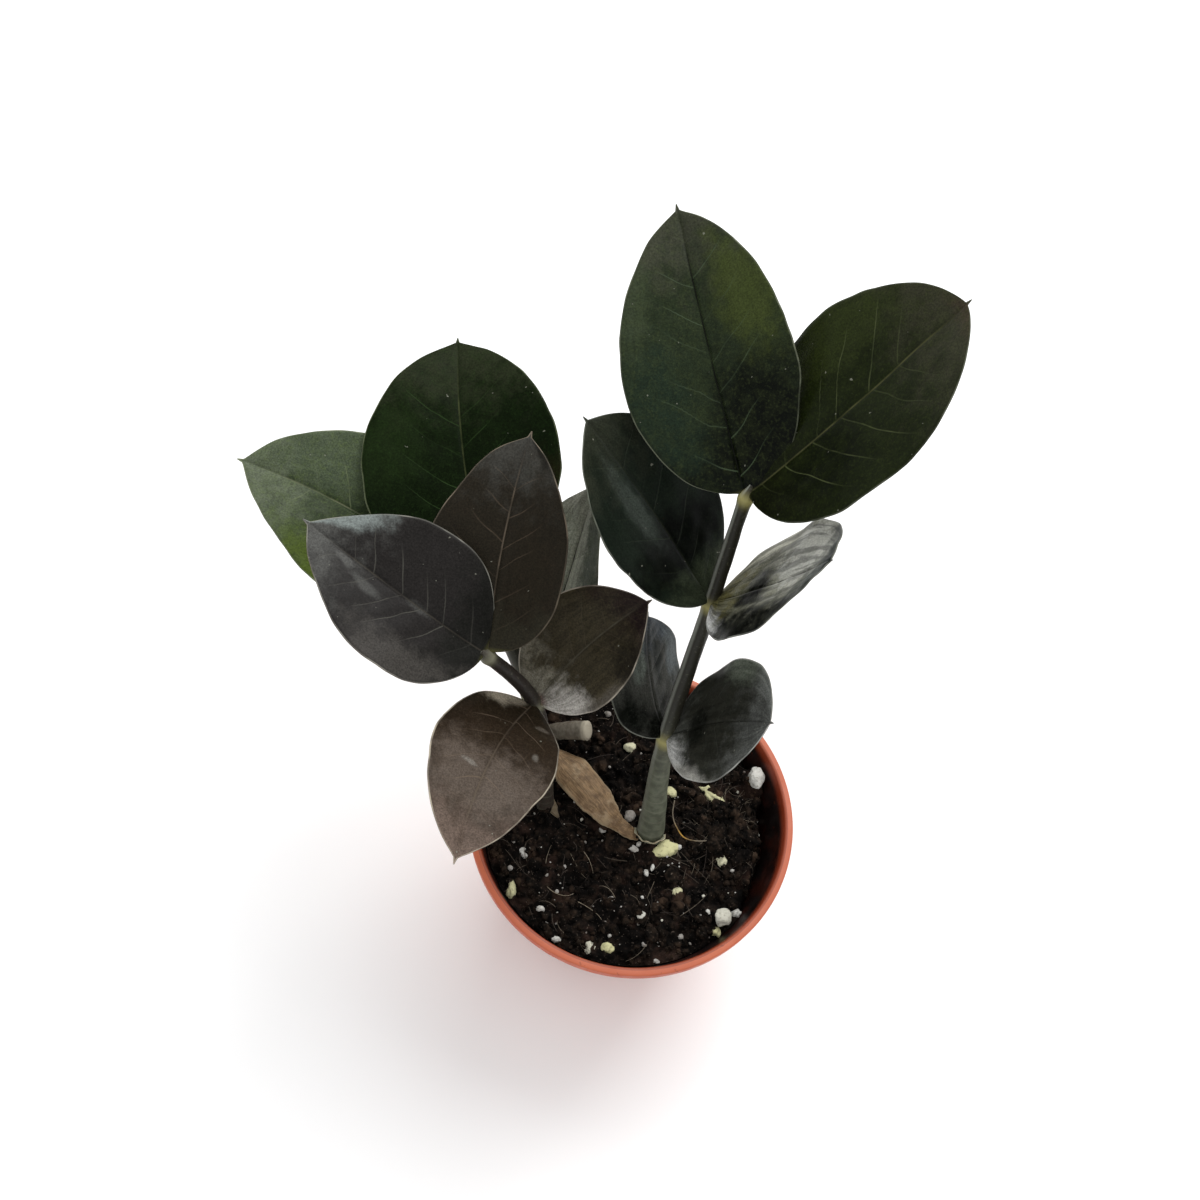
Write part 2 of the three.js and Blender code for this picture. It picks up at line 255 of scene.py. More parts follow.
def cloudy(tree, size, detail=3.0, roughness=0.55, place=None):
    """Soft random patches about size millimetres across, through the solid of the piece."""
    place = place or shade(tree, "TexCoord")["Object"]
    feeds = {"Vector": place, "Scale": 1 / (size * mm), "Detail": detail, "Roughness": roughness}
    return shade(tree, "TexNoise", feeds)["Fac"]


def patches(tree, size, low, high, start=0.0, end=1.0, detail=3.0, roughness=0.55):
    """Soft random patches that go from start to end as the clouds go from low to high."""
    return eased_step(tree, cloudy(tree, size, detail, roughness), low, high, start, end)


def spotted(tree, colour, spots, size, low, high, most=1.0, detail=3.0, roughness=0.55):
    """A colour with another laid on it in soft random patches, as strongly as most."""
    share = patches(tree, size, low, high, 0, most, detail, roughness)
    return mingled(tree, share, colour, paint(*spots))


def new_finish(name, **values):
    """An empty finish: its material, node tree and surface sockets, with plain values set."""
    material = bpy.data.materials.new(name)
    material.use_nodes = True
    surface = material.node_tree.nodes["Principled BSDF"].inputs
    for label, value in values.items():
        surface[label.replace("_", " ").title().replace("Ior", "IOR")].default_value = value
    return material, material.node_tree, surface


def flat_length(tree, place):
    """How far a place lies from the origin in its first two directions."""
    flat = shade(tree, "VectorMath", {0: place, 1: (1, 1, 0)}, operation="MULTIPLY")[0]
    return shade(tree, "VectorMath", {0: flat}, operation="LENGTH")["Value"]


def dressed(tree, surface, colour, height, depth, roughness=None, strength=1.0):
    """Gives a surface its colour, its roughness where that varies, and its relief.

    A height from 0 to 1 stands out by the depth in millimetres.
    """
    tree.links.new(colour, surface["Base Color"])
    if roughness is not None:
        tree.links.new(roughness, surface["Roughness"])
    feeds = {"Height": height, "Distance": depth * mm, "Strength": strength}
    tree.links.new(shade(tree, "Bump", feeds)["Normal"], surface["Normal"])


def pot_finish():
    """Satin terracotta plastic: cloudy colour, a painted highlight on the rim's edge, and painted
    shade inside, darker over the whole inner wall and near black below the rim.

    A point is inside where its radius less slope times height is under that of the wall's middle.
    """
    material, tree, surface = new_finish("terracotta_plastic", specular_ior_level=0.35)
    place = shade(tree, "TexCoord")["Object"]
    height = shade(tree, "SeparateXYZ", {0: place})["Z"]
    upright = reckoned(tree, "MULTIPLY_ADD", height, -wall_slope, flat_length(tree, place))
    inside = times(
        tree,
        reckoned(tree, "LESS_THAN", upright, (foot_radius - wall_thickness / 2) * mm),
        reckoned(tree, "GREATER_THAN", height, recess_height * 1.5 * mm),
    )
    clay = mingled(tree, patches(tree, 14, 0.3, 0.7), paint(192, 80, 42), paint(204, 93, 52))
    # painted highlight: the rim's top edge paler
    lit_edge = eased_step(tree, height, (pot_height - edge_break) * mm, pot_height * mm, 0, 0.5)
    clay = mingled(tree, lit_edge, clay, paint(212, 126, 94))
    below = eased_step(tree, height, (pot_height - edge_break) * mm, (pot_height - lip_height) * mm)
    inner_shade_patches = patches(tree, 6, 0.3, 0.6, 0.9, 1.0, detail=6)
    # painted shade: the inner wall darker all over, and near black below the rim
    clay = mingled(tree, times(tree, inside, 0.45), clay, paint(96, 30, 22))
    clay = mingled(tree, times(tree, inside, below, inner_shade_patches), clay, paint(17, 6, 5))
    clay = spotted(tree, clay, (118, 60, 40), 1.6, 0.7, 0.74, 0.5, detail=2)
    roughness = patches(tree, 4, 0.3, 0.7, 0.36, 0.55, detail=5)
    dressed(tree, surface, clay, cloudy(tree, 0.5, 4), 0.05, roughness)
    return material


pot_outline = [
    [centre_pad_radius / 2, 0],
    [centre_pad_radius, 0],
    [centre_pad_radius + edge_break, recess_height],
    [foot_radius - foot_width - edge_break, recess_height],
    [foot_radius - foot_width, 0],
    [foot_radius, 0],
    [wall_top_radius, lip_foot],
    [lip_foot_radius, lip_foot],
    [rim_radius, pot_height],
    [rim_radius - rim_flat, pot_height],
    [rim_radius - rim_flat - edge_break / 2, pot_height - edge_break],
    [wall_inside(lip_foot), lip_foot],
    [wall_inside(inner_floor), inner_floor],
    [centre_pad_radius, inner_floor],
]
pot_rings = turned(eased(pot_outline, edge_break), pot_sides)
drill_angle = 2 * np.pi * np.arange(drain_holes) / drain_holes
drill_axis = joined(np.cos(drill_angle), np.sin(drill_angle), 0)
drill_outline = [[drain_hole_radius, -inner_floor], [drain_hole_radius, 2 * inner_floor]]
drill_rings = turned(drill_outline, drill_sides) + drain_circle_radius * drill_axis[:, None, None]
drills = placed("drills", skin("drills", drill_rings))
pot = placed("pot_shell", skin("pot_shell", pot_rings[None]), pot_finish())
fitted(drilled(pot, drills), "pot")

# Potting mix
# Dark peat with coir, filled nearly to the rim. It has shrunk away from the wall on
# the right, and an old fibrous lump lies on it there.

fit_gap = 0.35
mix_level = 54
mix_tilt = 0.04
shrink_drop = 9
shrink_width = 4
shrink_heading = -4
shrink_spread = 56
shrink_fade = 30
bridge_headings = (-34, 31)
bridge_spread = 10
mound_place = np.array([26, 2])
mound_width = 8
mound_height = 1.6
heaps = [
    # place x, y, then height and spread
    ((5.5, -4), 1.5, 5.0),
    ((33.2, 20.3), 4.6, 3.8),
]
mix_sides = 330
mix_top_rings = 112
lattice_factors = np.array([374761393, 668265263, 1103515245])
seed_factor = 2246822519
mixing_factor = 1274126177
low_bits = 0xFFFFFFFF


def lattice_value(cell, seed):
    """A steady chance value from 0 to 1 for each whole-number cell, mixed from its coordinates."""
    mixed = (cell.astype(np.int64) @ lattice_factors + seed * seed_factor) & low_bits
    for shift in (13, 15, 16):
        mixed = ((mixed ^ (mixed >> shift)) * mixing_factor) & low_bits
    return mixed / low_bits


def soft_noise(places, size, seed=0):
    """Lumps about size across, from -1 to 1: lattice values blended by 3t^2 - 2t^3 on each axis."""
    cell = np.floor(places / size)
    share = places / size - cell
    share = share * share * (3 - 2 * share)
    total = 0
    for corner in itertools.product((0, 1), repeat=3):
        weight = np.where(corner, share, 1 - share).prod(-1)
        total = total + weight * lattice_value(cell + corner, seed)
    return 2 * total - 1


def rough_noise(places, size, seed=0, layers=3):
    """Soft noise with finer layers on it, each half as wide and half as high as the last."""
    return sum(soft_noise(places, size / 2**k, seed + k) / 2**k for k in range(layers))


def bell(x, y, place, spread):
    """A round hump, exp(-(distance from its place / spread)^2)."""
    return np.exp(-(((x - place[0]) ** 2 + (y - place[1]) ** 2) / spread**2))


def mix_height(x, y):
    """The mix's top: a tilted level, two slow waves and the mound, less the drop by the wall.

    The drop fades towards two headings, where the mix still reaches the wall.
    """
    radius = np.hypot(x, y)
    waves = 0.5 * np.sin(0.31 * x + 1.3) * np.cos(0.27 * y) + 0.35 * np.sin(0.63 * y - 0.41 * x)
    heading = np.degrees(np.arctan2(y, x))
    away = np.abs((heading - shrink_heading + 180) % 360 - 180)
    on_right = np.clip((shrink_spread - away) / shrink_fade, 0, 1)
    for bridge in bridge_headings:
        on_right = on_right * (1 - np.exp(-(((heading - bridge) / bridge_spread) ** 2)))
    edge = wall_inside(mix_level) - fit_gap
    near_wall = np.clip((radius - edge + shrink_width) / (shrink_width - 1), 0, 1)
    drop = shrink_drop * np.prod([s * s * (3 - 2 * s) for s in (on_right, near_wall)], axis=0)
    mound = mound_height * bell(x, y, mound_place, mound_width)
    return mix_level - mix_tilt * x + waves + mound - drop


def crumbly_height(x, y):
    """The mix's top with its crumbs, heaped at the right frond's foot and by the wall.

    Its clods and crumbs are folded noise, so that they are round and the hollows between
    them sharp.
    """
    flat = joined(x, y, 0)
    clods = 0.5 - np.abs(rough_noise(flat, 5.5, 11))
    crumbs = 0.5 - np.abs(rough_noise(flat, 2.1, 23, 2))
    on_mound = bell(x, y, mound_place, mound_width)
    heaped = sum(height * bell(x, y, place, spread) for place, height, spread in heaps)
    broken = (1.5 + 1.5 * on_mound) * clods + (1.0 + 0.6 * on_mound) * crumbs - 0.8
    return mix_height(x, y) + heaped + broken


def mix_rings():
    """Rings up the side and then in over the top, each kept clear of the pot at its height."""
    angle = np.linspace(0, 2 * np.pi, mix_sides, endpoint=False)
    bottom = inner_floor + fit_gap
    top_radius = wall_inside(mix_level + 2) - fit_gap
    inwards = np.sin(np.pi / 2 * np.linspace(1, 0.01, mix_top_rings))
    radius = np.append([foot_radius / 2, foot_radius, top_radius], top_radius * inwards)[:, None]
    x, y = radius * np.cos(angle), radius * np.sin(angle)
    z = crumbly_height(x, y)
    z[:3] = np.array([bottom, bottom, mix_level - shrink_drop - 3])[:, None]
    kept = np.minimum(radius, wall_inside(z) - fit_gap)
    return joined(kept * np.cos(angle), kept * np.sin(angle), z)


def built(name, rings, finish, node=None, marks=None, smooth=True):
    """A piece of one finish made of rings, fitted on the plant."""
    fitted(placed(name, skin(name, rings, marks, smooth), finish), node)


black = (0, 0, 0, 1)
white = (1, 1, 1, 1)


def effect(name, outputs, **inputs):
    """An empty shader node group with named outputs, and inputs with their usual values.

    A value of four numbers makes a colour, one of three a place, and one alone a number.
    """
    tree = bpy.data.node_groups.new(name, "ShaderNodeTree")
    for label, value in inputs.items():
        kind = {1: "NodeSocketFloat", 3: "NodeSocketVector", 4: "NodeSocketColor"}[np.size(value)]
        label = label.replace("_", " ").title()
        socket = tree.interface.new_socket(label, in_out="INPUT", socket_type=kind)
        socket.default_value = value
    for label in outputs:
        kind = "NodeSocketColor" if label == "Colour" else "NodeSocketFloat"
        tree.interface.new_socket(label, in_out="OUTPUT", socket_type=kind)
    return tree, tree.nodes.new("NodeGroupInput").outputs, tree.nodes.new("NodeGroupOutput").inputs


def apply_effect(tree, group, **feeds):
    """Places a node group in a finish with its own values."""
    made = tree.nodes.new("ShaderNodeGroup")
    made.node_tree = group
    for label, value in feeds.items():
        socket = made.inputs[label.replace("_", " ").title()]
        if isinstance(value, bpy.types.NodeSocket):
            tree.links.new(value, socket)
        else:
            socket.default_value = value
    return made.outputs


def effect_finish(name, group, depth, feeds, **values):
    """A finish whose colour and relief come from one effect, and its plain values."""
    material, tree, surface = new_finish(name, **values)
    made = apply_effect(tree, group, **feeds)
    dressed(tree, surface, made["Colour"], made["Height"], depth)
    return material


def peat_effect():
    """Damp peat: browner and redder in patches, with pale dust, and painted shade that makes it near
    black low down, chiefly in the gap by the wall.
    """
    tree, given, made = effect("peat", ["Colour", "Height"], dark=black, brown=black, reddish=black)
    colour = mingled(tree, patches(tree, 2.2, 0.42, 0.64, detail=6), given["Dark"], given["Brown"])
    colour = mingled(tree, patches(tree, 7, 0.5, 0.68, 0, 0.9, detail=4), colour, given["Reddish"])
    colour = spotted(tree, colour, (6, 4, 3), 9, 0.5, 0.38, 0.9)
    colour = spotted(tree, colour, (138, 124, 112), 0.55, 0.64, 0.72, 0.6)
    height = shade(tree, "SeparateXYZ", {0: shade(tree, "TexCoord")["Object"]})["Z"]
    # painted shade: the peat near black below the mix's level
    low_shade = eased_step(tree, height, (mix_level - 1.5) * mm, (mix_level - 5) * mm, 0, 0.8)
    tree.links.new(mingled(tree, low_shade, colour, paint(6, 4, 3)), made["Colour"])
    tree.links.new(cloudy(tree, 0.8, 8, 0.7), made["Height"])
    return tree


peat = peat_effect()


def peat_finish(name, dark, brown, reddish):
    """Peat of three tones, rough and hardly shining."""
    tones = {"dark": paint(*dark), "brown": paint(*brown), "reddish": paint(*reddish)}
    return effect_finish(name, peat, 0.5, tones, roughness=0.93, specular_ior_level=0.1)


damp_peat = peat_finish("damp_peat", (10, 7, 5), (36, 28, 23), (58, 42, 35))
built("potting_mix_surface", mix_rings()[None], damp_peat, "potting_mix")

# Peat crumbs
# Loose crumbs and short chips of bark that lie on the mix, more of them on the mound.

crumb_draw = np.random.default_rng(41)
strewn_crumbs = 1200
mound_crumbs = 420
mound_crumb_spread = 5.5
crumb_reach = 39.3
crumb_lift = 0.15
crumb_grid = (5, 7)
wall_clearance = 0.1


def scattered(draw, count, reach=40.0):
    """Chance places (x, y) inside a circle, even over its area."""
    angle = draw.uniform(0, 2 * np.pi, count)
    radius = reach * np.sqrt(draw.uniform(0, 1, count))
    return joined(radius * np.cos(angle), radius * np.sin(angle))


def seated(places, lift):
    """Places (x, y) put on the mix and raised by a lift."""
    x, y = np.moveaxis(places, -1, 0)
    return joined(x, y, crumbly_height(x, y) + lift)


def held_in(bodies):
    """Bodies drawn in towards the pot's middle until every point is clear of the wall's inside."""
    past = np.hypot(bodies[..., 0], bodies[..., 1]) - wall_inside(bodies[..., 2]) + wall_clearance
    inward = -unit(bodies[..., :2].mean((1, 2)))
    inward = inward * np.clip(past.max((1, 2)), 0, None)[:, None]
    return bodies + np.append(inward, 0 * inward[:, :1], 1)[:, None, None]


def lumps(centres, sizes, turns, draw, grid, unevenness=0.35):
    """Rounded lumps, one body for each centre.

    The direction (cos a sin b, sin a sin b, -cos b) runs over a grid of a and b, is pushed in
    and out by noise, stretched to the lump's three sizes, tilted and turned by its two turns,
    and held inside the pot's wall.
    """
    count = len(centres)
    b = np.linspace(0.12 * np.pi, 0.88 * np.pi, grid[0])[:, None]
    a = np.linspace(0, 2 * np.pi, grid[1], endpoint=False)[None]
    ball = joined(np.cos(a) * np.sin(b), np.sin(a) * np.sin(b), -np.cos(b))
    strange = draw.uniform(0, 500, (count, 1, 1, 3))
    shape = ball * (1 + unevenness * rough_noise(1.4 * ball + strange, 1.0, 5, 2))[..., None]
    shape = shape * sizes[:, None, None]
    for first, second, turn in ((1, 2, turns[:, 0, None, None]), (0, 1, turns[:, 1, None, None])):
        one, two = shape[..., first].copy(), shape[..., second].copy()
        shape[..., first] = one * np.cos(turn) - two * np.sin(turn)
        shape[..., second] = one * np.sin(turn) + two * np.cos(turn)
    return held_in(centres[:, None, None] + shape)


crumb_places = np.concatenate([
    scattered(crumb_draw, strewn_crumbs),
    mound_place + crumb_draw.normal(0, mound_crumb_spread, (mound_crumbs, 2)),
])
crumb_places = crumb_places[np.hypot(*crumb_places.T) < crumb_reach]
crumb_width = crumb_draw.gamma(3.0, 0.2, (len(crumb_places), 1)) + 0.16
crumb_sizes = crumb_width * crumb_draw.uniform(0.6, 1.5, (len(crumb_places), 3))
crumb_turns = crumb_draw.uniform(-1, 1, (len(crumb_places), 2)) * [0.7, np.pi]
crumb_lumps = lumps(
    seated(crumb_places, crumb_lift), crumb_sizes, crumb_turns, crumb_draw, crumb_grid)
loose_peat = peat_finish("loose_peat", (12, 9, 6), (50, 40, 32), (74, 58, 46))
built("peat_crumbs", crumb_lumps, loose_peat, smooth=False)

# Peat clods
# Larger uneven clods of matted peat that break up the lump on the right. Each is sunk
# in the mix to about its middle.

clod_draw = np.random.default_rng(43)
clod_count = 44
clod_shift = (1, 3)
clod_spread = (5, 7)
clod_lift = 0.3
clod_grid = (16, 24)
clod_unevenness = 0.6

clod_places = mound_place + clod_draw.normal(clod_shift, clod_spread, (clod_count, 2))
clod_width = clod_draw.uniform(0.8, 2.3, (clod_count, 1))
clod_sizes = clod_width * clod_draw.uniform(0.6, 1.3, (clod_count, 3))
clod_turns = clod_draw.uniform(-1, 1, (clod_count, 2)) * [0.5, np.pi]
clod_lumps = lumps(
    seated(clod_places, clod_lift), clod_sizes, clod_turns, clod_draw, clod_grid, clod_unevenness)
matted_peat = peat_finish("matted_peat", (8, 6, 4), (42, 33, 26), (92, 74, 60))
built("peat_clods", clod_lumps, matted_peat)

# Perlite
# Puffed white grains of volcanic glass, some stained yellow, that lie in the mix.
# The large ones have their own places, and small ones are strewn between them.

perlite_draw = np.random.default_rng(7)
large_grid = (18, 26)
small_grid = (6, 8)
small_count = 190
small_reach = 38.5
large_grains = [
    # place x, y, then half sizes, turn in degrees and how far it is stained yellow
    ((33.2, 20.3), (2.4, 3.0, 2.2), 0, 0),
    ((22.2, 13.4), (4.2, 1.7, 1.7), -24, 0.9),
    ((11.6, -5.4), (3.4, 2.4, 1.9), 22, 1),
    ((27.2, -4.7), (1.5, 2.2, 1.4), 12, 0.6),
    ((30.1, -20.8), (2.2, 2.6, 1.7), 0, 0.2),
    ((33.9, -18.7), (1.6, 1.1, 1.1), 35, 0),
    ((30.3, -25.5), (1.2, 1.6, 1.1), 0, 1.5),
    ((-3.6, 22.6), (1.7, 1.5, 1.3), 0, 0.6),
    ((9.9, 11.2), (1.7, 1.6, 1.3), 0, 0.9),
    ((-28, -25.8), (1.3, 2.2, 1.2), 0, 0.9),
    ((-26.8, -15.2), (1.0, 1.5, 1.0), 25, 0),
    ((-4.2, -36.8), (1.4, 1.7, 1.1), 0, 0.3),
    ((0.4, -36.1), (1.7, 1.4, 1.2), 0, 1.3),
    ((-13.6, -36.8), (1.3, 1.0, 0.9), 0, 0),
    ((2.3, -7.3), (1.7, 1.0, 0.9), -18, -0.4),
    ((0, 1.8), (1.7, 1.8, 1.4), 0, -0.65),
    ((16.8, -16.5), (1.2, 1.6, 1.0), -25, 0.8),
    ((7.9, -25.2), (1.2, 1.1, 0.8), 0, 0.1),
    ((7.3, -13.5), (0.6, 1.0, 0.7), 20, 0),
    ((8.6, -11.8), (0.5, 1.0, 0.6), -5, 0),
    ((-0.9, -22.6), (0.8, 0.7, 0.6), 0, -0.5),
    ((-17.2, -33.2), (1.0, 0.9, 0.7), 0, -0.4),
    ((29.4, 5.4), (1.1, 0.8, 0.8), -30, -0.3),
    ((-6.9, -3.8), (0.9, 0.8, 0.7), 0, -0.3),
    ((14, -37), (0.9, 0.7, 0.6), 0, -0.4),
    ((19.5, -28.5), (0.7, 0.7, 0.5), 0, -0.5),
    ((8.1, -26.8), (0.9, 0.8, 0.6), 0, -0.2),
    ((16.1, -1.4), (0.7, 0.45, 0.4), 0, 1),
]


def surface_mark(tree, name):
    """The three numbers that a mesh keeps at each point under a mark's name."""
    return shade(tree, "SeparateXYZ", {0: shade(tree, "Attribute", attribute_name=name)["Vector"]})


def perlite_finish():
    """Chalky glass foam: white with grey pits, yellow-green or dull brown by the mark called tone."""
    material, tree, surface = new_finish("perlite", roughness=0.85, specular_ior_level=0.3)
    tone = surface_mark(tree, "tone")
    colour = mingled(tree, tone[0], paint(226, 224, 216), paint(230, 226, 172))
    colour = mingled(tree, tone[1], colour, paint(112, 98, 90))
    colour = spotted(tree, colour, (120, 110, 90), 0.9, 0.52, 0.72, 0.55, detail=4)
    dressed(tree, surface, colour, cloudy(tree, 0.5, 4), 0.3)
    return material


chalky_white = perlite_finish()


def perlite(name, places, sizes, turns, stains, grid):
    """Perlite grains as one piece. A stain over 0 is yellow and one under 0 is brown."""
    bodies = lumps(seated(places, 0.4 * sizes[:, 2]), sizes, turns, perlite_draw, grid, 0.3)
    tone = np.zeros_like(bodies)
    tone[..., 0] = np.clip(stains, 0, 1)[:, None, None]
    tone[..., 1] = np.clip(-stains, 0, 1)[:, None, None]
    built(name, bodies, chalky_white, marks={"tone": tone})


large_places, large_sizes, large_headings, large_stains = map(np.array, zip(*large_grains))
large_turns = np.radians(joined(0, large_headings))
perlite("large_perlite", large_places, large_sizes, large_turns, large_stains, large_grid)
small_places = scattered(perlite_draw, small_count, small_reach)
small_width = perlite_draw.gamma(2.0, 0.1, (small_count, 1)) + 0.13
small_sizes = small_width * perlite_draw.uniform(0.7, 1.3, (small_count, 3))
small_turns = perlite_draw.uniform(-1, 1, (small_count, 2)) * [0.7, np.pi]
small_stains = perlite_draw.uniform(-0.95, 0.25, small_count)
perlite("small_perlite", small_places, small_sizes, small_turns, small_stains, small_grid)

# Fibres in the mix
# Short root hairs and coir fibres that lie on the peat and arch over it, some of them
# pale and longer.

fibre_draw = np.random.default_rng(19)
fibre_count = 260
mound_fibres = 120
fibre_reach = 38
mound_fibre_spread = 5
fibre_steps = 11
fibre_sides = 5
fibre_clearance = 0.5
pale_fibres = [
    # where a fibre starts and its heading in degrees
    ((-14.6, -11.7), -62),
    ((-19.3, -22.9), -35),
    ((-10.5, -25.3), -8),
    ((-12.5, -9.5), -50),
]
pale_length = 9


def tubes(paths, radii, sides, across=(0, 0, 1)):
    """Rings round paths of points (body, place, xyz).

    The first axis of a ring is the given direction less its part along the path, the second is
    the path's direction crossed with the first, and the ring is radius times (cos a, sin a).
    """
    along = unit(np.gradient(paths, axis=1))
    first = unit(across - (along @ np.array(across, float))[..., None] * along)
    second = np.cross(along, first)
    angle = np.linspace(0, 2 * np.pi, sides, endpoint=False)[:, None]
    ring = np.cos(angle) * first[:, :, None] + np.sin(angle) * second[:, :, None]
    radii = np.broadcast_to(radii, paths.shape[:2])[:, :, None, None]
    return paths[:, :, None] + radii * ring


def wandering(draw, starts, headings, lengths, bend):
    """Paths over the mix: each heading turns at a slowly changing rate, and the middle arches up.

    A path that would pass the pot's wall follows it at a small distance.
    """
    count = len(starts)
    share = np.linspace(0, 1, fibre_steps)
    turn = draw.normal(0, bend, (count, 1)) * share + draw.normal(0, bend, (count, 1)) * share**2
    heading = np.radians(headings)[:, None] + turn
    step = joined(np.cos(heading), np.sin(heading)) * (lengths[:, None, None] / fibre_steps)
    flat = starts[:, None] + np.cumsum(step, axis=1)
    room = wall_inside(mix_height(flat[..., 0], flat[..., 1])) - fibre_clearance
    flat = flat * np.minimum(1, room / np.linalg.norm(flat, axis=-1))[..., None]
    arch = draw.uniform(0, 0.09, (count, 1)) * lengths[:, None] * np.sin(np.pi * share)
    ground = mix_height(flat[..., 0], flat[..., 1]) + 0.25 + draw.uniform(-0.2, 0.35, (count, 1))
    return np.concatenate([flat, (ground + arch)[..., None]], -1)


def fibre_finish():
    """Dry plant fibre from dark brown to straw, by the mark called tone."""
    material, tree, surface = new_finish("coir_fibre", roughness=0.7)
    tone = surface_mark(tree, "tone")
    colour = mingled(tree, tone[0], paint(50, 38, 30), paint(170, 156, 132))
    colour = mingled(tree, tone[1], colour, paint(206, 158, 62))
    colour = spotted(tree, colour, (46, 34, 26), 1.5, 0.4, 0.7, 0.5)
    dressed(tree, surface, colour, cloudy(tree, 0.3), 0.05)
    return material


fibre_starts = np.concatenate([
    scattered(fibre_draw, fibre_count - mound_fibres, fibre_reach),
    mound_place + fibre_draw.normal(0, mound_fibre_spread, (mound_fibres, 2)),
])
pale = slice(len(pale_fibres))
fibre_starts[pale] = [place for place, _ in pale_fibres]
fibre_headings = fibre_draw.uniform(0, 360, fibre_count)
fibre_headings[pale] = [heading for _, heading in pale_fibres]
fibre_lengths = fibre_draw.gamma(3.0, 1.6, fibre_count) + 1.5
fibre_lengths[pale] = pale_length
fibre_radii = fibre_draw.uniform(0.04, 0.11, (fibre_count, 1)) * np.linspace(1, 0.45, fibre_steps)
fibre_tone = np.zeros((fibre_count, fibre_steps, fibre_sides, 3))
fibre_tone[..., 0] = fibre_draw.beta(0.9, 3.4, fibre_count)[:, None, None]
fibre_tone[pale, ..., 0] = 1
fibre_paths = wandering(fibre_draw, fibre_starts, fibre_headings, fibre_lengths, 0.6)
fibre_rings = tubes(fibre_paths, fibre_radii, fibre_sides)
coir = fibre_finish()
built("mix_fibres", fibre_rings, coir, marks={"tone": fibre_tone})

# Thin root
# One thin orange root that curls out of the lump on the right and lies over its clods.

root_points = [(11.4, 8.6), (11.6, 5.0), (12.8, 1.8), (15.6, -1.2), (19.4, -1.9), (23.2, -1.2)]
root_lift = 1.9
root_radius = 0.17
root_sides = 8
root_steps = 6
orange_middle = 17
orange_reach = 4


def smooth_line(points, steps):
    """A smooth line through points: centripetal Catmull-Rom, so many steps to each span.

    The knots between points lie apart by the square root of their distance, and each span is
    the cubic that leaves and meets its points with the slopes of those knots.
    """
    points = np.array(points, float)
    padded = np.concatenate([[2 * points[0] - points[1]], points, [2 * points[-1] - points[-2]]])
    knot = np.sqrt(np.linalg.norm(np.diff(padded, axis=0), axis=1))[:, None]
    before, here, after = knot[:-2], knot[1:-1], knot[2:]
    one, two, three, four = padded[:-3], padded[1:-2], padded[2:-1], padded[3:]
    leave = ((two - one) / before - (three - one) / (before + here) + (three - two) / here) * here
    meet = ((three - two) / here - (four - two) / (here + after) + (four - three) / after) * here
    t = np.linspace(0, 1, steps, endpoint=False)[:, None, None]
    spans = ((2 * t**3 - 3 * t**2 + 1) * two + (t**3 - 2 * t**2 + t) * leave
             + (3 * t**2 - 2 * t**3) * three + (t**3 - t**2) * meet)
    return np.concatenate([spans.transpose(1, 0, 2).reshape(-1, points.shape[1]), points[-1:]])


root_flat = smooth_line(root_points, root_steps)
root_path = np.concatenate([root_flat, mix_height(*root_flat.T)[:, None] + root_lift], -1)[None]
root_tone = np.zeros((1, len(root_flat), root_sides, 3))
root_tone[..., 0] = 0.55
from_orange = np.arange(len(root_flat)) - orange_middle
root_tone[..., 1] = np.exp(-((from_orange / orange_reach) ** 2))[:, None]
root_rings = tubes(root_path, root_radius, root_sides)
built("thin_root", root_rings, coir, marks={"tone": root_tone})

# Frond stems
# Each frond grows as one piece from the buried rootstock: a thick smooth stalk, a little
# swollen where its leaflets join it, that ends in a small pale bud.

stem_steps = 26
stem_sides = 28
node_swelling = 0.4
node_reach = 1.7

right_frond = {
    "points": [
        [6.5, -8, 36],
        [6.3, -1.4, 54],
        [3.9, 12.8, 87],
        [6.7, 35.6, 122],
        [8.2, 49, 152],
        [8.7, 50.6, 155.5],
    ],
    "radii": [3.4, 3.85, 2.3, 1.9, 1.65, 0.5],
    "low": (112, 116, 98),
    "high": (44, 42, 33),
    "node": (172, 164, 102),
    "gleam": 0.75,
}
front_left_frond = {
    "points": [
        [-20.5, -5, 38],
        [-23.5, -0.8, 54],
        [-31.6, 10.5, 96],
        [-44.7, 9.5, 120],
        [-46.1, 9.2, 122.2],
    ],
    "radii": [2.2, 2.5, 1.9, 1.7, 0.5],
    "low": (62, 53, 46),
    "high": (50, 42, 38),
    "node": (126, 124, 102),
    "gleam": 0.6,
}
back_left_frond = {
    "points": [
        [-27, 8.5, 38],
        [-31, 13.1, 54],
        [-34.3, 20.3, 80],
        [-46.6, 27.4, 108],
        [-48.2, 28.4, 110.5],
    ],
    "radii": [2.2, 2.4, 2.0, 1.7, 0.5],
    "low": (84, 82, 70),
    "high": (56, 56, 44),
    "node": (120, 118, 84),
    "gleam": 0.35,
}


def fibrous(tree, places, scale, detail, roughness=0.5):
    """Soft noise over values used as x, y and z, for a grain that follows a piece's own marks."""
    place = shade(tree, "CombineXYZ", dict(enumerate(places)))[0]
    feeds = {"Vector": place, "Scale": scale, "Detail": detail, "Roughness": roughness}
    return shade(tree, "TexNoise", feeds)["Fac"]


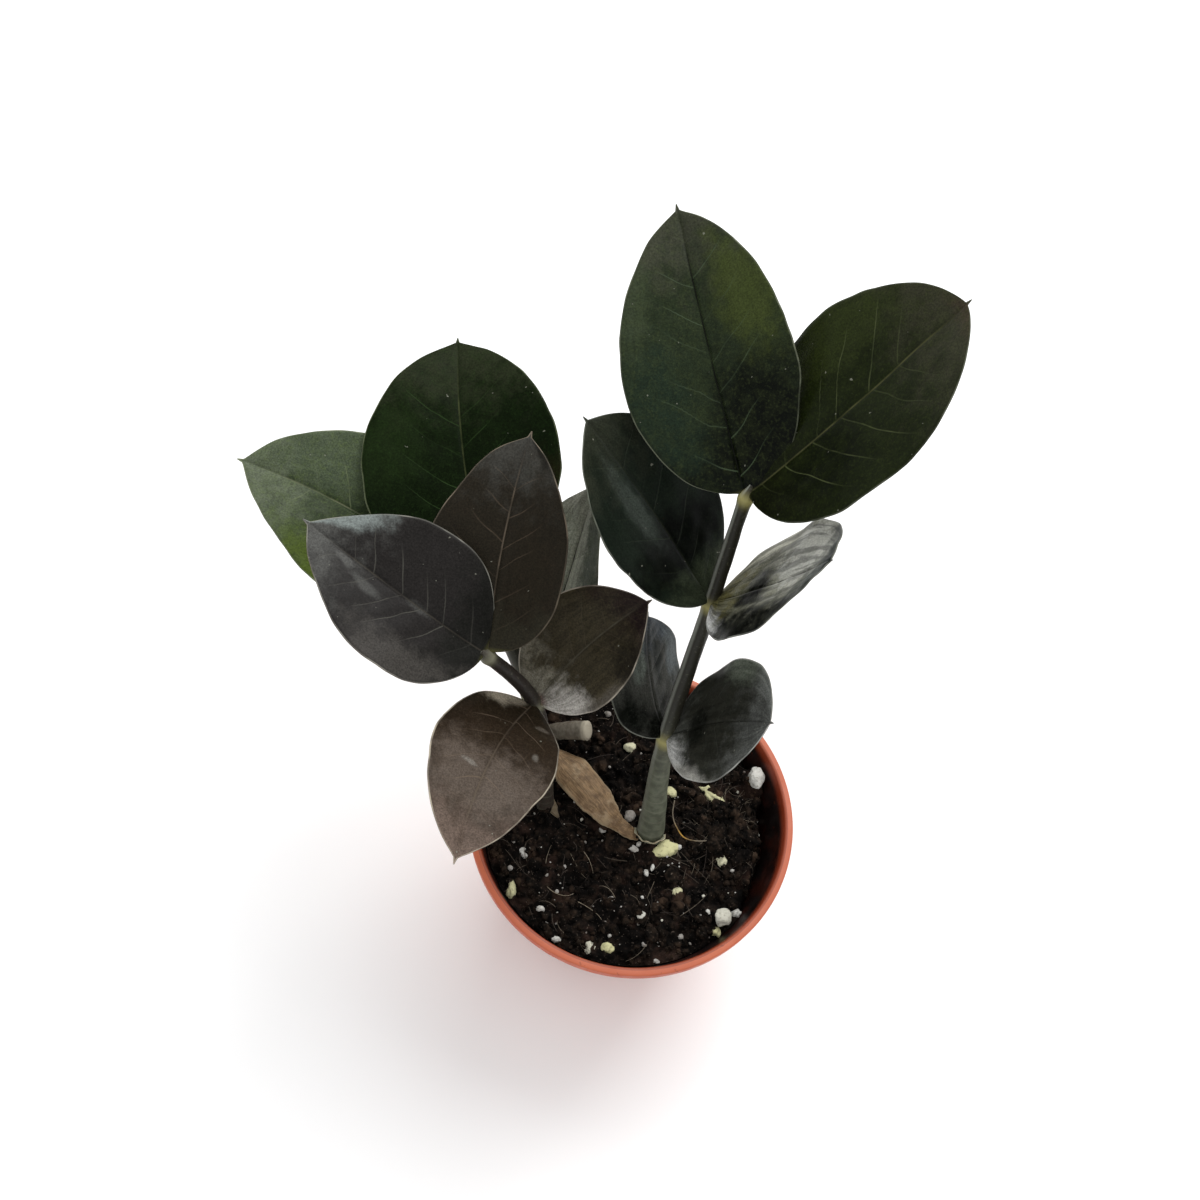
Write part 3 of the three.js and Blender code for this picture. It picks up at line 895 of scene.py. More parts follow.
def stalk_effect():
    """Waxy stalk skin: two greens blended up its length, faint rings, streaks and pale nodes,
    whose paleness is partly their own yellow-green and partly a painted highlight.

    The mark called stalk holds how far up, how near a node and the share of a turn. A paler
    strip runs up the side at about a third of a turn, where the stalk catches the light.
    """
    tree, given, made = effect(
        "stalk_skin", ["Colour", "Height"], low=black, high=black, node=black, gleam=0.5)
    up, near_node, turn = surface_mark(tree, "stalk")
    colour = mingled(tree, eased_step(tree, up, 12, 52), given["Low"], given["High"])
    streak = fibrous(tree, (times(tree, up, 0.06), turn), 9, 4)
    colour = mingled(tree, eased_step(tree, streak, 0.35, 0.7, 0, 0.45), colour, paint(46, 46, 38))
    rings = eased_step(tree, fibrous(tree, (up,), 0.75, 3), 0.5, 0.72, 0, 0.4)
    rings = times(tree, rings, eased_step(tree, up, 45, 15))
    colour = mingled(tree, rings, colour, paint(150, 150, 130))
    colour = spotted(tree, colour, (134, 132, 110), 0.7, 0.6, 0.7, 0.22, detail=2)
    from_strip = reckoned(tree, "ABSOLUTE", reckoned(tree, "SUBTRACT", turn, 0.34))
    off_foot = eased_step(tree, up, 24, 38, 0.3, 1.0)
    strip = times(tree, eased_step(tree, from_strip, 0.09, 0.02), given["Gleam"], off_foot)
    colour = mingled(tree, strip, colour, paint(158, 160, 150))
    # pale nodes: partly their own yellow-green, partly a painted highlight
    colour = mingled(tree, times(tree, near_node, 0.9), colour, given["Node"])
    tree.links.new(colour, made["Colour"])
    tree.links.new(streak, made["Height"])
    return tree


stalk_skin = stalk_effect()


def stem_finish(name, plan):
    """The skin of one frond's stem."""
    feeds = {part: paint(*plan[part]) for part in ("low", "high", "node")} | {"gleam": plan["gleam"]}
    return effect_finish(name, stalk_skin, 0.12, feeds, roughness=0.5, specular_ior_level=0.3)


def distance_along(path):
    """How far along a path each of its points lies."""
    return np.append(0, np.cumsum(np.linalg.norm(np.diff(path, axis=0), axis=1)))


def stem_rings(points, radii):
    """Rings up a stem, and its marks.

    Its radius runs evenly between the given places, swells at each node by
    exp(-(distance / reach)^2), and is a little uneven.
    """
    path = smooth_line(points, stem_steps)
    far = distance_along(path)
    nodes = far[2 * stem_steps:-1:stem_steps]
    near = np.exp(-(((far[:, None] - nodes) / node_reach) ** 2)).sum(1)
    radius = np.interp(np.arange(len(path)), stem_steps * np.arange(len(radii)), radii)
    rings = tubes(path[None], radius + node_swelling * near, stem_sides, across=(0, 1, 0))
    outward = rings - path[None, :, None]
    uneven = 0.05 * soft_noise(rings * [1, 1, 0.25], 2.2, 3) + 0.03 * soft_noise(rings, 5, 4)
    up = far - far[stem_steps]
    marks = joined(up[:, None], near[:, None], np.linspace(0, 1, stem_sides))
    return rings + outward * uneven[..., None], marks[None]


def grown_stem(name, plan, node):
    """The stem of one frond, which with its leaflets stands for the frond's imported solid."""
    rings, marks = stem_rings(plan["points"], plan["radii"])
    built(name, rings, stem_finish(name + "_skin", plan), node, {"stalk": marks})


grown_stem("right_stem", right_frond, "frond_right")
grown_stem("front_left_stem", front_left_frond, "frond_front_left")
grown_stem("back_left_stem", back_left_frond, "frond_back_left")

# Leaflets
# Thick leathery blades, a pair to each node, that grow from the stem on short stalks.
# The midrib lies in a groove above and stands out as a rib below, side veins arch out
# to the margin, and the margin is thin and pale and ends in a small point; its pale line is
# partly its own colour and partly a painted highlight.

blade_rows = 104
blade_columns = 61
stalk_half_width = 1.1
stalk_share = 0.02
stalk_height = 0.75
wave_height = 0.6
waves_along = 2.4
point_length = 1.3
point_half_width = 0.5
keen_reach = 1.8
ragged_edge = 0.45
ragged_width = 6.5
blade_core = 0.16
blade_edge = 0.14
edge_roundness = 0.12
vein_pairs = 6
first_vein = 0.09
vein_slant = 0.62
vein_curl = 0.011
vein_jitter = 0.22
vein_fade = 0.25
vein_width = 0.5
vein_depth = 0.1
vein_bulge = 0.08
groove_width = 0.5
groove_depth = 0.36
rib_width = 0.75
rib_height = 1.05
shine_share = 0.6
usual_look = {
    "keen": 0.4,  # how sharply the end is drawn in to the point
    "vein_gap": 0.13,  # from one side vein to the next, as a share of the length
    "pleats": 0.08,  # height of the lengthwise pleats
    "streaks": 0.1,  # strength of the dark streaks
    "mottling": 0.25,
    "veining": 0.6,
    "midrib_strength": 0.85,
}


def half_width(share, look):
    """Half of a blade's width along its length.

    It is the egg a^p (1-a)^q over its own peak, where a runs from the stalk to the foot of the
    point, drawn in near the end by 1 - keen exp(-distance left / reach), then a thin spike.
    """
    length = look["length"]
    squeezed = share / (1 - point_length / length)
    along = np.clip((squeezed - stalk_share) / (1 - stalk_share), 0, 1)
    p, q = look["taper"]
    peak = p / (p + q)
    egg = along**p * (1 - along) ** q / (peak**p * (1 - peak) ** q)
    egg = egg * (1 - look["keen"] * np.exp(-(1 - squeezed) * length / keen_reach))
    spike = np.minimum(0.12 + 0.3 * (1 - share) * length / point_length, point_half_width)
    return np.maximum.reduce([
        look["width"] / 2 * egg,
        stalk_half_width * (1 - share),
        np.where(squeezed > 0.9, spike, 0.1),
    ])


def midrib_frame(base, look, share):
    """The midrib's line and the blade's own directions beside and above it.

    The direction is forward cos(bend) cos(side) + left cos(bend) sin(side) - face sin(bend),
    with bend and side growing evenly to arch and sweep, and the line is its running sum.
    """
    angles = [look[name] for name in ("heading", "rise", "roll", "arch", "sweep")]
    heading, rise, roll, arch, sweep = np.radians(angles)
    forward = joined(np.cos(rise) * np.cos(heading), np.cos(rise) * np.sin(heading), np.sin(rise))
    level = joined(-np.sin(heading), np.cos(heading), 0)
    left = level * np.cos(roll) + np.cross(forward, level) * np.sin(roll)
    face = np.cross(forward, left)

    def direction(at):
        """The midrib's direction at a share of its length."""
        bend, side = arch * at[:, None], sweep * at[:, None]
        in_plane = np.cos(side) * forward + np.sin(side) * left
        return np.cos(bend) * in_plane - np.sin(bend) * face

    steps = direction((share[1:] + share[:-1]) / 2) * (np.diff(share) * look["length"])[:, None]
    centre = base + np.append(np.zeros((1, 3)), np.cumsum(steps, axis=0), axis=0)
    side = sweep * share[:, None]
    aside = np.cos(side) * left - np.sin(side) * forward
    return centre, aside, np.cross(direction(share), aside)


def side_veins(column, away, wander, share, look, draw):
    """Which side vein each point of the blade is on or between, and how strongly it shows.

    A vein that starts at share s reaches share s + (slant d + curl d^2 + wander) / length at a
    distance d from the midrib. Tracing each point back to its start gives a count that is whole
    on veins.
    """
    phase, strength = np.zeros_like(away), np.zeros_like(away)
    gap = look["vein_gap"]
    back = share - (vein_slant * away + vein_curl * away**2 + wander) / look["length"]
    numbers = np.arange(-1, vein_pairs + 1)
    for side in (-1, 1):
        starts = np.arange(vein_pairs) + draw.uniform(-vein_jitter, vein_jitter, vein_pairs)
        starts = first_vein + gap * starts
        starts = np.concatenate([[starts[0] - 1], starts, [starts[-1] + 1]])
        count = np.concatenate([[-1 / gap], np.arange(vein_pairs), [vein_pairs - 1 + 1 / gap]])
        shows = np.pad(draw.uniform(0.3, 1, vein_pairs) ** 1.2, 1)
        reach = np.pad(draw.uniform(0.45, 0.9, vein_pairs), 1)
        here = np.interp(back, starts, count)
        fade = np.clip((np.interp(here, numbers, reach) - np.abs(column)) / vein_fade, 0, 1)
        on_side = np.sign(column) == side
        phase = np.where(on_side, here, phase)
        strength = np.where(on_side, np.interp(here, numbers, shows) * fade, strength)
    return phase, strength


def blade_relief(column, share, half, look, seed):
    """How far a blade's faces stand off its plain form, and its vein mark.

    The swell holds the wavy margin, the bulges between veins, pleats and unevenness. The upper
    face lies above it by the thickness and the stalk, less the groove and the veins, and the
    lower face below it by the thickness, the stalk and the rib.
    """
    away, far = np.abs(column) * half, share * look["length"]
    calm = np.clip(half / 5, 0, 1)
    flat = joined(column * half, far, float(seed))
    wander = 0.9 * rough_noise(flat, 9.0, 31, 2) * np.clip(away / 4, 0, 1)
    phase, strength = side_veins(column, away, wander, share, look, np.random.default_rng(seed))
    from_vein = np.abs(phase - np.round(phase)) * look["vein_gap"] * look["length"]
    on_vein = vein_depth * strength * np.exp(-((from_vein / vein_width) ** 2))
    turns = 2 * np.pi * waves_along * share + np.radians(look["heading"]) + np.sign(column)
    swell = wave_height * column**2 * np.sin(np.pi * share) * np.sin(turns)
    between = (1 - np.cos(2 * np.pi * phase)) * np.sin(np.pi * np.abs(column) ** 0.8)
    swell = swell + vein_bulge * calm * between
    swell = swell + look["pleats"] * calm * soft_noise(flat * [1, 0.14, 1], 2.6, 9)
    swell = swell + calm * (0.28 * soft_noise(flat, 11, 2) + 0.05 * soft_noise(flat, 3.5, 6))
    thick = (blade_core * (1 - column**2) + blade_edge) * np.clip(half, 0.5, 1)
    stalk = stalk_height * np.exp(-far / 2.5) * np.sqrt(1 - column**2)
    groove = groove_depth * np.exp(-((away / groove_width) ** 2))
    groove = groove * np.clip((far - 2) / 5, 0, 1) * (1 - share) ** 0.3
    rib = rib_height * np.exp(-((away / rib_width) ** 2)) * (1 - share) ** 0.9
    above = swell + thick + stalk - groove - on_vein
    below = swell - thick - stalk - rib - on_vein
    return swell, above, below, joined(phase, strength, away)


def leaflet_rings(base, look, seed):
    """One blade as rings round its section, from the stalk to the point, and its two marks.

    A point lies at centre - aside column half cos(fold) + up (|column| half sin(fold) + relief).
    The blade mark holds the column, the share of the length and the distance from the margin,
    and the vein mark the count of veins, how strongly they show and the distance from the midrib.
    """
    share = (1 - np.cos(np.pi * np.arange(blade_rows + 1) / blade_rows)) / 2
    spread = np.linspace(-1, 1, blade_columns)
    column = (spread * (0.35 + 0.65 * np.abs(spread)))[None]
    centre, aside, up = midrib_frame(np.array(base), look, share)
    share, half = share[:, None], half_width(share, look)[:, None]
    bumps = joined(share * look["length"], 50 * np.sign(column), float(seed))
    bumps = np.clip(half / 6 - 0.3, 0, 1) * rough_noise(bumps, ragged_width, 21, 2)
    half = half + ragged_edge * bumps
    swell, above, below, vein = blade_relief(column, share, half, look, seed)
    fold = np.radians(look["fold"])
    rise = np.abs(column) * half * np.sin(fold)
    across = -column * half * np.cos(fold)

    def points(sideways, lift):
        """Points beside and above the midrib."""
        return centre[:, None] + aside[:, None] * sideways[..., None] + up[:, None] * lift[..., None]

    def edge(end):
        """The thin rounded margin past one side's last column."""
        rounded = 1 + edge_roundness / np.maximum(half[:, end], 0.6)
        return points(across[:, end] * rounded, (rise + swell)[:, end])

    def round_it(front, back, left, right):
        """A ring over the front, round the right edge, back and round the left edge."""
        return np.concatenate([front, right, back[:, ::-1], left], axis=1)[None]

    blade = joined(column, share, (1 - np.abs(column)) * half)
    faces = [points(across, rise + relief) for relief in (above, below)]
    rings = round_it(*faces, edge([0]), edge([-1]))
    return rings, *(round_it(mark, mark, mark[:, :1], mark[:, -1:]) for mark in (blade, vein))


def shaken(tree, value, size, most):
    """A value raised and lowered by up to so much in ragged patches."""
    ragged = patches(tree, size, 0.3, 0.7, -most, most, detail=7, roughness=0.64)
    return reckoned(tree, "ADD", value, ragged)


def lengthwise_effect():
    """Three colours blended from the foot over the body to the tip of a blade."""
    tree, given, made = effect("lengthwise_colour", ["Colour"], foot=black, body=black, tip=black)
    share = shaken(tree, surface_mark(tree, "blade")[1], 5, 0.1)
    body = mingled(tree, eased_step(tree, share, 0.08, 0.34), given["Foot"], given["Body"])
    whole = mingled(tree, eased_step(tree, share, 0.6, 0.98), body, given["Tip"])
    tree.links.new(whole, made["Colour"])
    return tree


def zone_effect():
    """A soft, ragged patch of another colour round a place on the blade. Some zones are
    patches of the blade's own colour, and others are painted highlights, sheen, reflections
    and shadows.
    """
    tree, given, made = effect(
        "tinted_zone", ["Colour"], colour=black, tint=white, place=(0, 0.5, 0), size=(0.5, 0.3, 1),
        strength=0.5)
    column, share, _ = surface_mark(tree, "blade")
    here = shade(tree, "CombineXYZ", {0: column, 1: share})[0]
    offset = shade(tree, "VectorMath", {0: here, 1: given["Place"]}, operation="SUBTRACT")[0]
    scaled = shade(tree, "VectorMath", {0: offset, 1: given["Size"]}, operation="DIVIDE")[0]
    distance = shaken(tree, flat_length(tree, scaled), 4, 0.2)
    seen = times(tree, eased_step(tree, distance, 1.1, 0.35), given["Strength"])
    tree.links.new(mingled(tree, seen, given["Colour"], given["Tint"]), made["Colour"])
    return tree


def streak_effect():
    """Long dark streaks that run from foot to tip: painted shade in the hollows of a pleated
    glossy skin, which breaks its painted reflections into streaks.
    """
    tree, given, made = effect("dark_streaks", ["Colour"], colour=black, amount=0.0, shift=0.0)
    column, share, _ = surface_mark(tree, "blade")
    across = reckoned(tree, "MULTIPLY_ADD", column, 7.0, given["Shift"])
    along = reckoned(tree, "MULTIPLY_ADD", share, 2.4, times(tree, column, 0.8))
    streak = fibrous(tree, (across, along, given["Shift"]), 1.3, 6, 0.62)
    seen = times(tree, eased_step(tree, streak, 0.44, 0.57), given["Amount"])
    darker = mingled(tree, seen, given["Colour"], (0.18, 0.18, 0.18, 1), "MULTIPLY")
    tree.links.new(darker, made["Colour"])
    return tree


def mark_effect():
    """Mottling, grain, side veins, midrib, stalk, dust and a pale margin laid over a blade's colour;
    the margin's pale line is partly its own colour and partly a painted highlight.

    A side vein lies where the count of veins is whole. How far the count is off the nearest
    whole number, times the gap, is the distance from that vein in millimetres.
    """
    tree, given, made = effect(
        "blade_marks", ["Colour", "Height", "Roughness"], colour=black, mottle=white, mottling=0.5,
        vein=white, veining=0.5, midrib=white, midrib_strength=0.5, margin=white, gap=7.0,
        length=60.0)
    _, share, from_margin = surface_mark(tree, "blade")
    count, strength, from_midrib = surface_mark(tree, "vein")
    clouds = patches(tree, 3.4, 0.42, 0.66, detail=5, roughness=0.65)
    grains = patches(tree, 0.75, 0.5, 0.68, roughness=0.6)
    mottle = reckoned(tree, "MULTIPLY_ADD", clouds, 0.6, grains)
    mottle = times(tree, mottle, given["Mottling"], 0.6)
    colour = mingled(tree, mottle, given["Colour"], given["Mottle"])
    grain = patches(tree, 0.45, 0.3, 0.7, 0.62, 1.4, detail=5, roughness=0.75)
    colour = shade(tree, "HueSaturation", {"Value": grain, "Color": colour})["Color"]
    off_whole = reckoned(tree, "SUBTRACT", count, reckoned(tree, "ROUND", count))
    from_vein = times(tree, reckoned(tree, "ABSOLUTE", off_whole), given["Gap"])
    line = times(tree, eased_step(tree, from_vein, 0.28, 0.06), strength)
    patchy = patches(tree, 6, 0.35, 0.6, 0.4, 1.0, detail=2)
    colour = mingled(tree, times(tree, line, patchy, given["Veining"]), colour, given["Vein"])
    rib = times(tree, eased_step(tree, from_midrib, 0.32, 0.08), given["Midrib Strength"])
    rib = times(tree, rib, eased_step(tree, share, 0.97, 0.72), patchy)
    colour = mingled(tree, rib, colour, given["Midrib"])
    stalk = eased_step(tree, times(tree, share, given["Length"]), 2.6, 0.8, 0, 0.7)
    colour = mingled(tree, stalk, colour, paint(104, 102, 60))
    colour = spotted(tree, colour, (150, 150, 136), 1.3, 0.775, 0.8, 0.6, detail=1)
    # the pale margin: partly its own colour, partly a painted highlight along the edge
    edge = eased_step(tree, from_margin, 0.34, 0.14, 0, 0.9)
    edge = times(tree, edge, patches(tree, 8, 0.42, 0.6, 0.3, 1.0, detail=2))
    tree.links.new(mingled(tree, edge, colour, given["Margin"]), made["Colour"])
    tree.links.new(patches(tree, 5, 0.3, 0.7, 0.36, 0.54, detail=5), made["Roughness"])
    fine = times(tree, cloudy(tree, 0.5), 0.25)
    tree.links.new(reckoned(tree, "SUBTRACT", fine, times(tree, line, 0.7)), made["Height"])
    return tree


lengthwise_colour = lengthwise_effect()
tinted_zone = zone_effect()
dark_streaks = streak_effect()
blade_marks = mark_effect()


def pigment(red, green, blue):
    """The colour under a shine: the share of a seen colour that isn't reflected light."""
    return (*[shine_share * part for part in paint(red, green, blue)[:3]], 1.0)


def blade_finish(name, look, seed):
    """The glossy upper skin of one leaflet."""
    gloss, length = look["gloss"], look["length"]
    material, tree, surface = new_finish(
        name, coat_weight=gloss / 8, coat_roughness=0.2, specular_ior_level=0.3 * gloss)
    foot, body, tip = (pigment(*colour) for colour in look["skin"])
    colour = apply_effect(tree, lengthwise_colour, foot=foot, body=body, tip=tip)[0]
    for tint, place, size, strength in look["zones"]:
        colour = apply_effect(
            tree, tinted_zone, colour=colour, tint=pigment(*tint), place=(*place, 0),
            size=(*size, 1), strength=strength)[0]
    streaks = look["streaks"]
    colour = apply_effect(tree, dark_streaks, colour=colour, amount=streaks, shift=seed * 1.7)[0]
    marked = apply_effect(
        tree, blade_marks, colour=colour, mottle=pigment(*look["mottle"]),
        mottling=look["mottling"], vein=paint(*look["vein"]), veining=look["veining"],
        midrib=pigment(*look["midrib"]), midrib_strength=look["midrib_strength"],
        margin=paint(*look["margin"]), gap=look["vein_gap"] * length, length=length)
    dressed(tree, surface, marked["Colour"], marked["Height"], 0.16, marked["Roughness"], 0.7)
    return material


def underside_finish(name, colour, margin):
    """The duller, paler skin of a blade's back, with the same veins."""
    feeds = {
        "colour": paint(*colour),
        "mottle": paint(96, 100, 70),
        "mottling": 0.35,
        "vein": paint(110, 112, 84),
        "midrib": paint(128, 126, 88),
        "midrib_strength": 0.9,
        "margin": paint(*margin),
    }
    return effect_finish(name, blade_marks, 0.12, feeds, roughness=0.55)


def leaflet(name, frond, node, slot, underside, seed, **look):
    """One leaflet on a node of its frond, with its own upper finish and its frond's underside.

    Its look gives the point of the stem it grows at, the heading, rise and roll of its foot, how
    far it arches, sweeps and folds, its size, the two powers of its outline, its gloss, and the
    colours of its foot, body and tip as its skin. A zone is a tint, its place and size across
    the blade, -1 to 1, and along it, 0 to 1, and its strength.
    """
    look = usual_look | look
    rings, blade, vein = leaflet_rings(frond["points"][look["at"]], look, seed)
    mesh = skin(name, rings, {"blade": blade, "vein": vein})
    finish = blade_finish(name + "_skin", look, seed)
    on_back = np.arange(rings.shape[2]) >= blade_columns
    back = np.concatenate([np.tile(on_back, rings.shape[1] - 1), on_back, on_back])
    mesh.polygons.foreach_set("material_index", back.astype(np.int32))
    mesh.update()
    fitted(placed(name, mesh, finish, underside), node)


# Right frond's leaflets
# Three pairs of near black leaflets on the tallest stem. The upper ones lie open and
# dull, and the lower ones are turned on their stalks and shine: the pale floor's reflection
# in them is painted into their colours.

dark_margin = (96, 100, 84)
dark_back = underside_finish("dark_underside", (74, 76, 62), dark_margin)
right_leaf = dict(
    frond=right_frond, node="frond_right", slot="dark_leaf", underside=dark_back)

leaflet(
    "right_leaflet_1", **right_leaf, seed=1, at=4, heading=124, rise=35, roll=-33, arch=19, sweep=1,
    length=72, width=43.5, taper=(0.56, 0.76), keen=0.6, fold=18, vein_gap=0.125,
    gloss=0.2, streaks=0.12, skin=((14, 22, 10), (50, 62, 40), (82, 84, 68)),
    zones=[
        ((3, 8, 2), (0.55, 0.2), (0.95, 0.36), 0.93),
        ((88, 100, 46), (0.65, 0.66), (0.5, 0.26), 0.75),
        # painted sheen: the bluish-green patch along the left side
        ((40, 58, 44), (-0.7, 0.34), (0.5, 0.3), 0.7),
        ((80, 92, 66), (-0.85, 0.68), (0.3, 0.18), 0.6),
    ],
    mottle=(94, 106, 60), mottling=0.32, vein=(84, 100, 74), veining=0.7,
    midrib=(14, 16, 9), midrib_strength=0.9, margin=(120, 124, 104),
)
leaflet(
    "right_leaflet_2", **right_leaf, seed=2, at=4, heading=26, rise=57, roll=-5, arch=5, sweep=9,
    length=71, width=48.5, taper=(0.62, 0.58), keen=0.3, fold=8, vein_gap=0.12,
    gloss=0.18, streaks=0.12, skin=((26, 30, 12), (31, 40, 10), (70, 70, 52)),
    zones=[
        ((150, 160, 86), (-0.8, 0.12), (0.42, 0.15), 0.9),
        ((60, 70, 30), (-0.75, 0.6), (0.45, 0.3), 0.7),
        ((12, 20, 2), (0.4, 0.36), (0.5, 0.22), 0.8),
        ((92, 74, 62), (0.2, 1), (1.2, 0.08), 0.6),
    ],
    mottle=(72, 84, 36), mottling=0.35, vein=(92, 100, 64), veining=0.75,
    midrib=(116, 116, 76), midrib_strength=0.8, margin=dark_margin,
)
leaflet(
    "right_leaflet_3", **right_leaf, seed=3, at=3, heading=152, rise=47, roll=4, arch=11, sweep=2,
    length=60, width=38.5, taper=(0.72, 0.69), keen=0.35, fold=9, pleats=0.1,
    gloss=0.2, streaks=0.25, skin=((70, 78, 60), (32, 42, 32), (58, 62, 48)),
    zones=[
        ((2, 5, 2), (0.1, 0.33), (1.5, 0.17), 0.95),
        # painted highlight: the grey gloss streak beside the midrib
        ((84, 92, 84), (-0.25, 0.6), (0.2, 0.26), 0.65),
        ((46, 56, 48), (0.7, 0.66), (0.35, 0.16), 0.6),
    ],
    mottle=(50, 58, 44), vein=(60, 68, 52), veining=0.4,
    midrib=(66, 70, 54), midrib_strength=0.4, margin=(118, 122, 110),
)
leaflet(
    "right_leaflet_4", **right_leaf, seed=4, at=3, heading=-19, rise=59, roll=-1, arch=-14, sweep=-11,
    length=57.5, width=36, taper=(0.63, 0.59), keen=0.2, fold=4, pleats=0.3, vein_gap=0.14,
    # painted reflection of the floor: the pale foot and body and the near-white zones, broken by the dark
    # streaks; painted shade in its groove: the dark midrib
    gloss=0.1, streaks=0.68, skin=((140, 134, 86), (168, 168, 146), (90, 96, 92)),
    zones=[
        ((4, 6, 4), (0.05, 0.35), (0.6, 0.15), 1),
        ((255, 255, 242), (-0.4, 0.66), (0.8, 0.26), 1),
        ((250, 248, 226), (-0.9, 0.32), (0.34, 0.2), 1),
        ((14, 16, 14), (0.85, 0.5), (0.55, 0.6), 1),
        ((255, 255, 252), (1, 0.11), (0.6, 0.14), 1),
        ((24, 32, 32), (0, 0.97), (1.2, 0.08), 0.85),
    ],
    mottle=(150, 152, 134), vein=(110, 112, 100), veining=0.15,
    midrib=(40, 40, 32), margin=(150, 152, 144),
)
leaflet(
    "right_leaflet_5", **right_leaf, seed=5, at=2, heading=136, rise=43, roll=21, arch=-18, sweep=-18,
    length=36.5, width=29, taper=(0.75, 0.73), keen=0.3, fold=-6, pleats=0.2, vein_gap=0.15,
    # painted reflection of the floor: the grey body, the bluish tip and the pale grey zones; painted shade
    # in its groove: the dark midrib
    gloss=0.12, streaks=0.35, skin=((14, 16, 12), (86, 86, 80), (94, 102, 112)),
    zones=[
        ((5, 10, 5), (-0.75, 0.32), (0.55, 0.2), 0.95),
        ((92, 82, 84), (-0.85, 0.66), (0.3, 0.14), 0.8),
        ((134, 142, 132), (-0.25, 0.64), (0.2, 0.18), 0.85),
        ((20, 26, 20), (0.3, 0.6), (0.2, 0.2), 0.9),
        ((128, 136, 138), (0.85, 0.58), (0.35, 0.3), 0.8),
    ],
    mottle=(100, 104, 94), vein=(80, 84, 74), veining=0.2,
    midrib=(36, 38, 30), midrib_strength=0.7, margin=(140, 142, 134),
)
leaflet(
    "right_leaflet_6", **right_leaf, seed=6, at=2, heading=-3, rise=65, roll=0, arch=10, sweep=-17,
    length=45.5, width=33, taper=(0.7, 0.5), keen=0.3, fold=4, pleats=0.22, vein_gap=0.14,
    # painted reflection of the floor: the pale foot and tip and the near-white and pale grey zones
    gloss=0.15, streaks=0.4, skin=((116, 118, 110), (58, 58, 50), (122, 124, 120)),
    zones=[
        ((255, 255, 250), (0.9, 0.1), (0.75, 0.24), 1),
        ((210, 208, 198), (1, 0.38), (0.26, 0.28), 0.95),
        ((134, 142, 126), (-0.9, 0.66), (0.35, 0.2), 0.9),
        ((180, 184, 178), (-0.9, 0.86), (0.4, 0.14), 0.7),
        ((14, 16, 11), (0.05, 0.34), (0.45, 0.13), 0.85),
    ],
    mottle=(100, 104, 94), vein=(80, 84, 74), veining=0.2,
    midrib=(40, 42, 34), midrib_strength=0.6, margin=(190, 190, 184),
)

# Front left frond's leaflets
# Two pairs of dull purple-brown leaflets. The lowest one hangs over the pot's rim and
# has scuffs on its skin.

purple_margin = (128, 116, 100)
purple_back = underside_finish("purple_underside", (92, 72, 64), purple_margin)
front_leaf = dict(
    frond=front_left_frond, node="frond_front_left", slot="purple_leaf", underside=purple_back)

leaflet(
    "front_left_leaflet_1", **front_leaf, seed=7, at=3, heading=171, rise=32, roll=-11, arch=29, sweep=-14,
    length=56, width=38.5, taper=(0.63, 0.91), fold=13,
    # painted highlights: the pale tip, the pale patch at its edge, the grey patch on the lower side and
    # the small grey flecks by the midrib
    gloss=0.16, streaks=0.08, skin=((40, 40, 36), (50, 47, 45), (110, 110, 106)),
    zones=[
        ((92, 88, 83), (-0.85, 0.35), (0.4, 0.3), 0.85),
        ((26, 26, 22), (0.6, 0.13), (0.5, 0.14), 0.65),
        ((170, 180, 176), (0.88, 0.86), (0.45, 0.2), 0.9),
        ((112, 112, 108), (-0.24, 0.62), (0.1, 0.1), 0.7),
        ((120, 120, 116), (-0.14, 0.75), (0.12, 0.07), 0.7),
        ((112, 112, 108), (-0.02, 0.37), (0.08, 0.08), 0.5),
    ],
    mottle=(76, 72, 70), mottling=0.22, vein=(104, 102, 94),
    midrib=(90, 84, 74), midrib_strength=0.6, margin=(150, 148, 138),
)
leaflet(
    "front_left_leaflet_2", **front_leaf, seed=8, at=3, heading=99, rise=32, roll=-18, arch=15, sweep=-10,
    length=56.5, width=36, taper=(0.45, 0.73), keen=0.65, fold=11,
    gloss=0.16, skin=((58, 55, 43), (48, 43, 33), (84, 83, 77)),
    zones=[
        ((47, 40, 28), (0.5, 0.36), (0.5, 0.25), 0.5),
        ((22, 22, 16), (0.85, 0.92), (0.3, 0.12), 0.8),
    ],
    mottle=(66, 54, 42), mottling=0.28, vein=(110, 94, 78), veining=0.65,
    midrib=(130, 116, 100), margin=purple_margin,
)
leaflet(
    "front_left_leaflet_3", **front_leaf, seed=9, at=2, heading=245, rise=40, roll=0, arch=33, sweep=30,
    length=60, width=31, taper=(0.73, 0.8), keen=0.5, fold=9, pleats=0.1, vein_gap=0.12,
    # painted sheen: the paler tip and the paler band towards it; painted reflection: the bright patch at
    # the foot; the thin pale marks are scuffs
    gloss=0.1, streaks=0.08, skin=((56, 47, 34), (62, 50, 38), (140, 121, 109)),
    zones=[
        ((124, 111, 100), (0, 0.62), (1.5, 0.22), 0.92),
        ((230, 216, 192), (0.85, 0.08), (0.65, 0.15), 0.9),
        ((184, 178, 168), (0.29, 0.56), (0.17, 0.016), 0.55),
        ((150, 140, 128), (-0.66, 0.18), (0.2, 0.02), 0.55),
        ((160, 154, 144), (-0.62, 0.39), (0.07, 0.025), 0.6),
    ],
    mottle=(106, 92, 76), mottling=0.3, vein=(124, 108, 92),
    midrib=(128, 114, 98), midrib_strength=0.8, margin=(196, 186, 166),
)
